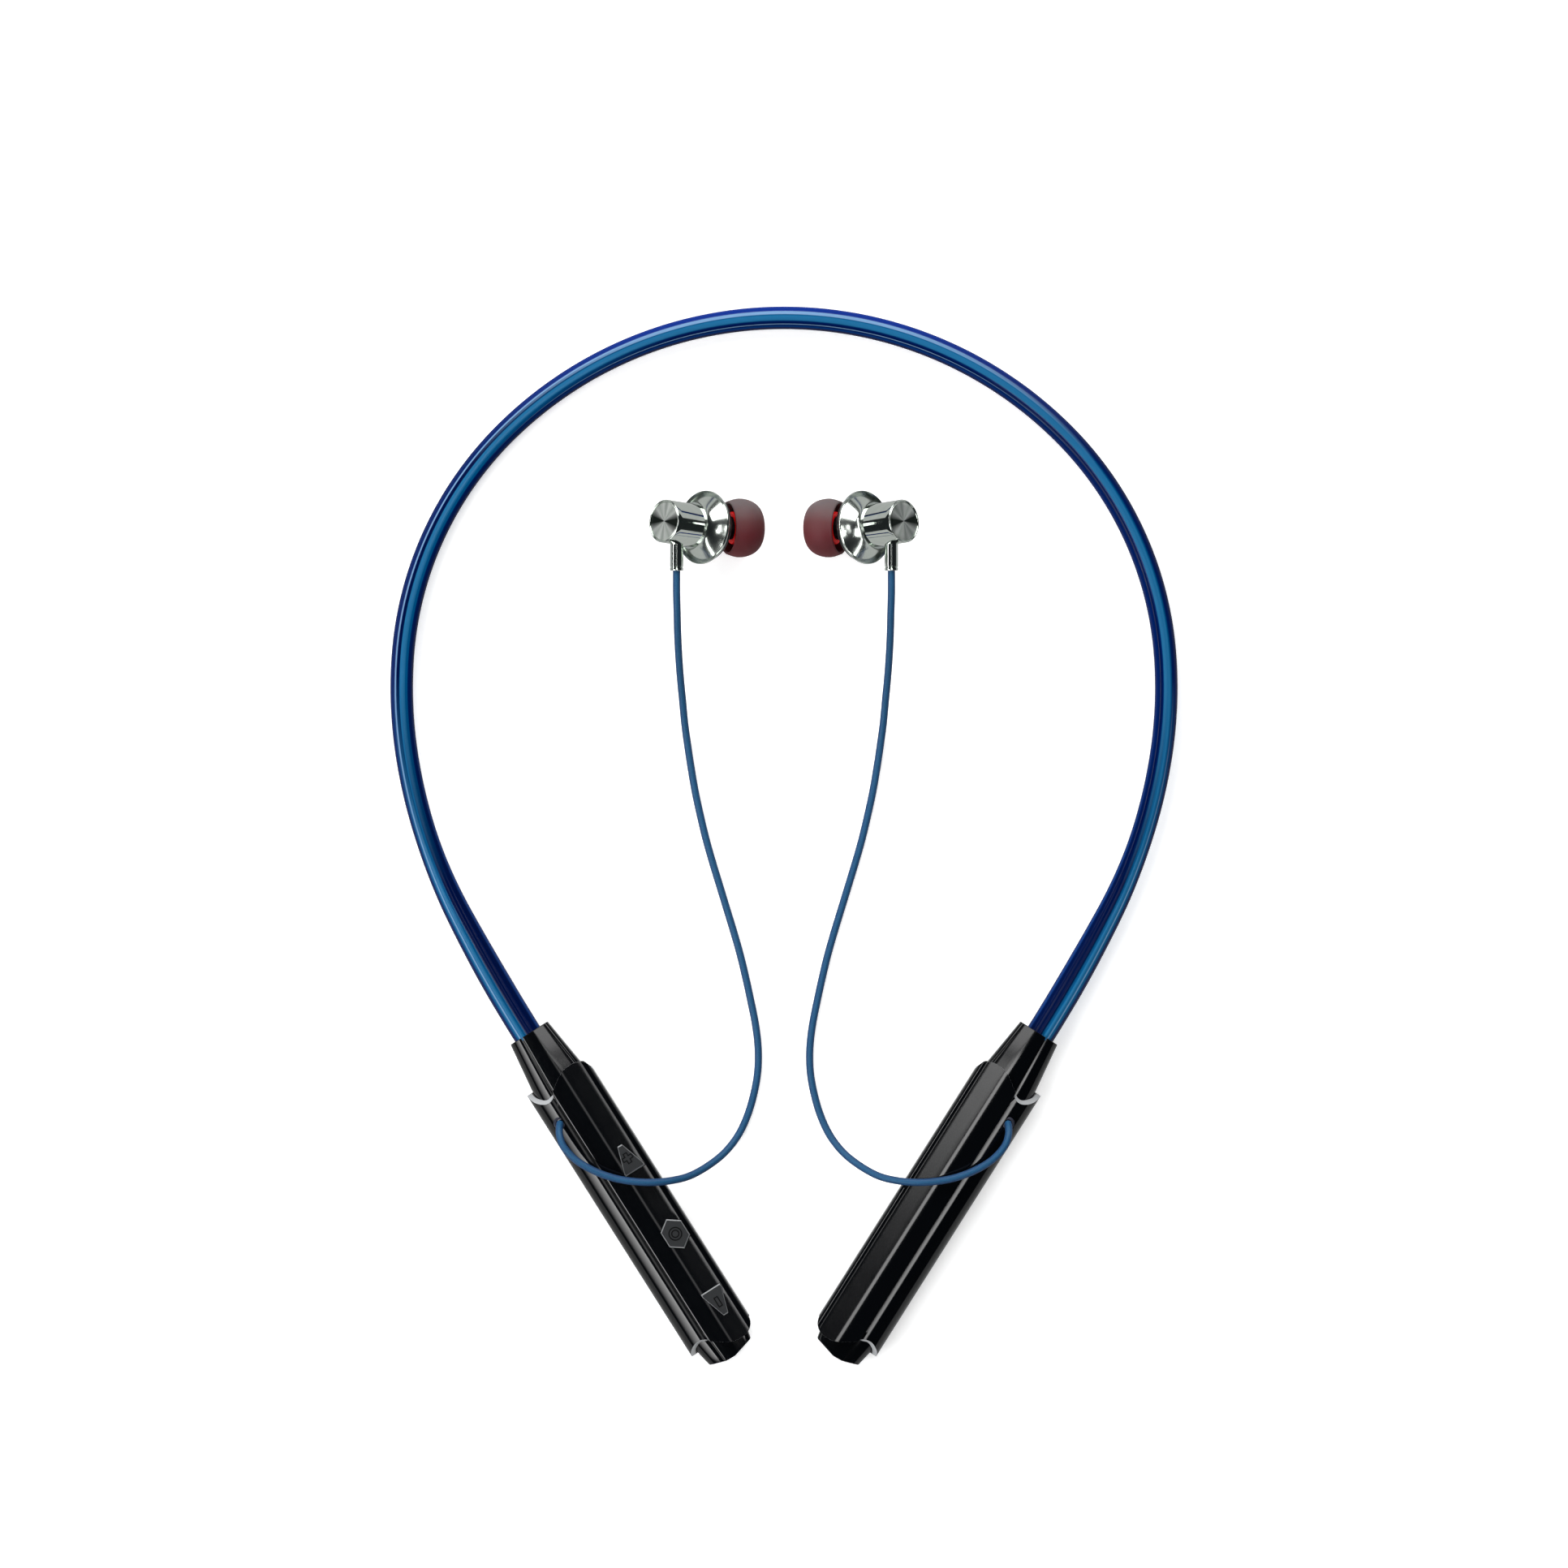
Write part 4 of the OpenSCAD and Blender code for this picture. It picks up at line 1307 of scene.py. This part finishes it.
def add_card(name, azimuth, from_deg, to_deg, width, brightness, distance=1.5):
    """A glowing card between two angles from straight up, brightest at the first and fading to nothing."""
    half = distance * radians(to_deg - from_deg) / 2
    n = Nodes(name)
    glow = n.add("ShaderNodeEmission")
    parts = n.add("ShaderNodeSeparateXYZ")
    n.link(n.position(), parts.inputs[0])
    rise = n.add("ShaderNodeMapRange")
    rise.inputs["From Min"].default_value = -half
    rise.inputs["From Max"].default_value = half
    n.link(parts.outputs["Y"], rise.inputs["Value"])
    curve = n.math("POWER", rise.outputs["Result"], CARD_FADE)
    n.link(n.math("MULTIPLY", curve, brightness), glow.inputs["Strength"])
    n.link(glow.outputs[0], n.tree.nodes["Material Output"].inputs["Surface"])
    corners = [(x, y, 0) for x, y in box_points(width / MM, 2 * half / MM)]
    card = make_object(name, corners, [(0, 1, 2, 3)], n.material)
    place = distance * direction(azimuth, (from_deg + to_deg) / 2)
    card.matrix_world = Matrix.Translation(place) @ (-place).to_track_quat("-Z", "Y").to_matrix().to_4x4()
    card.visible_camera = False
    card.visible_shadow = False


def add_world():
    """A dark room, a little brighter towards the horizon, shown with plain display colours."""
    world = bpy.data.worlds.new("studio")
    world.use_nodes = True
    tree = world.node_tree
    background = tree.nodes["Background"]
    coordinates = tree.nodes.new("ShaderNodeTexCoord")
    parts = tree.nodes.new("ShaderNodeSeparateXYZ")
    ramp = tree.nodes.new("ShaderNodeValToRGB")
    tree.links.new(coordinates.outputs["Generated"], parts.inputs[0])
    tree.links.new(parts.outputs["Z"], ramp.inputs["Fac"])
    tree.links.new(ramp.outputs["Color"], background.inputs["Color"])
    low, high = ramp.color_ramp.elements
    low.color = (0.016, 0.019, 0.02, 1)
    low.position = 0.1
    high.color = (0.012, 0.014, 0.016, 1)
    high.position = 0.7
    bpy.context.scene.world = world
    bpy.context.scene.view_settings.view_transform = "Standard"


make_floor()
add_world()
# Strips and boxes for the sides, and a card that fades down the left pod's round side.
add_softbox("left_strip", 180, 60, (2.2, 0.12), 9)
add_softbox("back_box", 90, 54, (2.2, 1.05), 4.4)
add_softbox("front_strip", 270, 68, (2.2, 0.12), 6)
add_card("lobe_card", 212, 30, 80, 0.8, 8)
# Nearly overhead, for the sloping faces beside the creases.
add_softbox("left_ridge_strip", 212, 11, (0.45, 0.25), 1.2, 2.6)
add_softbox("ridge_strip", 328, 11, (0.45, 0.36), 6, 2.6)
# Panels that the level faces of the right pod and the collars reflect; the gap keeps them off the stems.
add_overhead("over_right_pod", 0.2, -0.06, (0.34, 0.19), 3.8)
for side, s in SIDES.items():
    add_overhead(f"over_{side}_collar_low", 0.36 * s, 0.045, (0.32, 0.08), 3.6)
    add_overhead(f"over_{side}_collar_high", 0.36 * s, 0.37, (0.32, 0.47), 3.6)
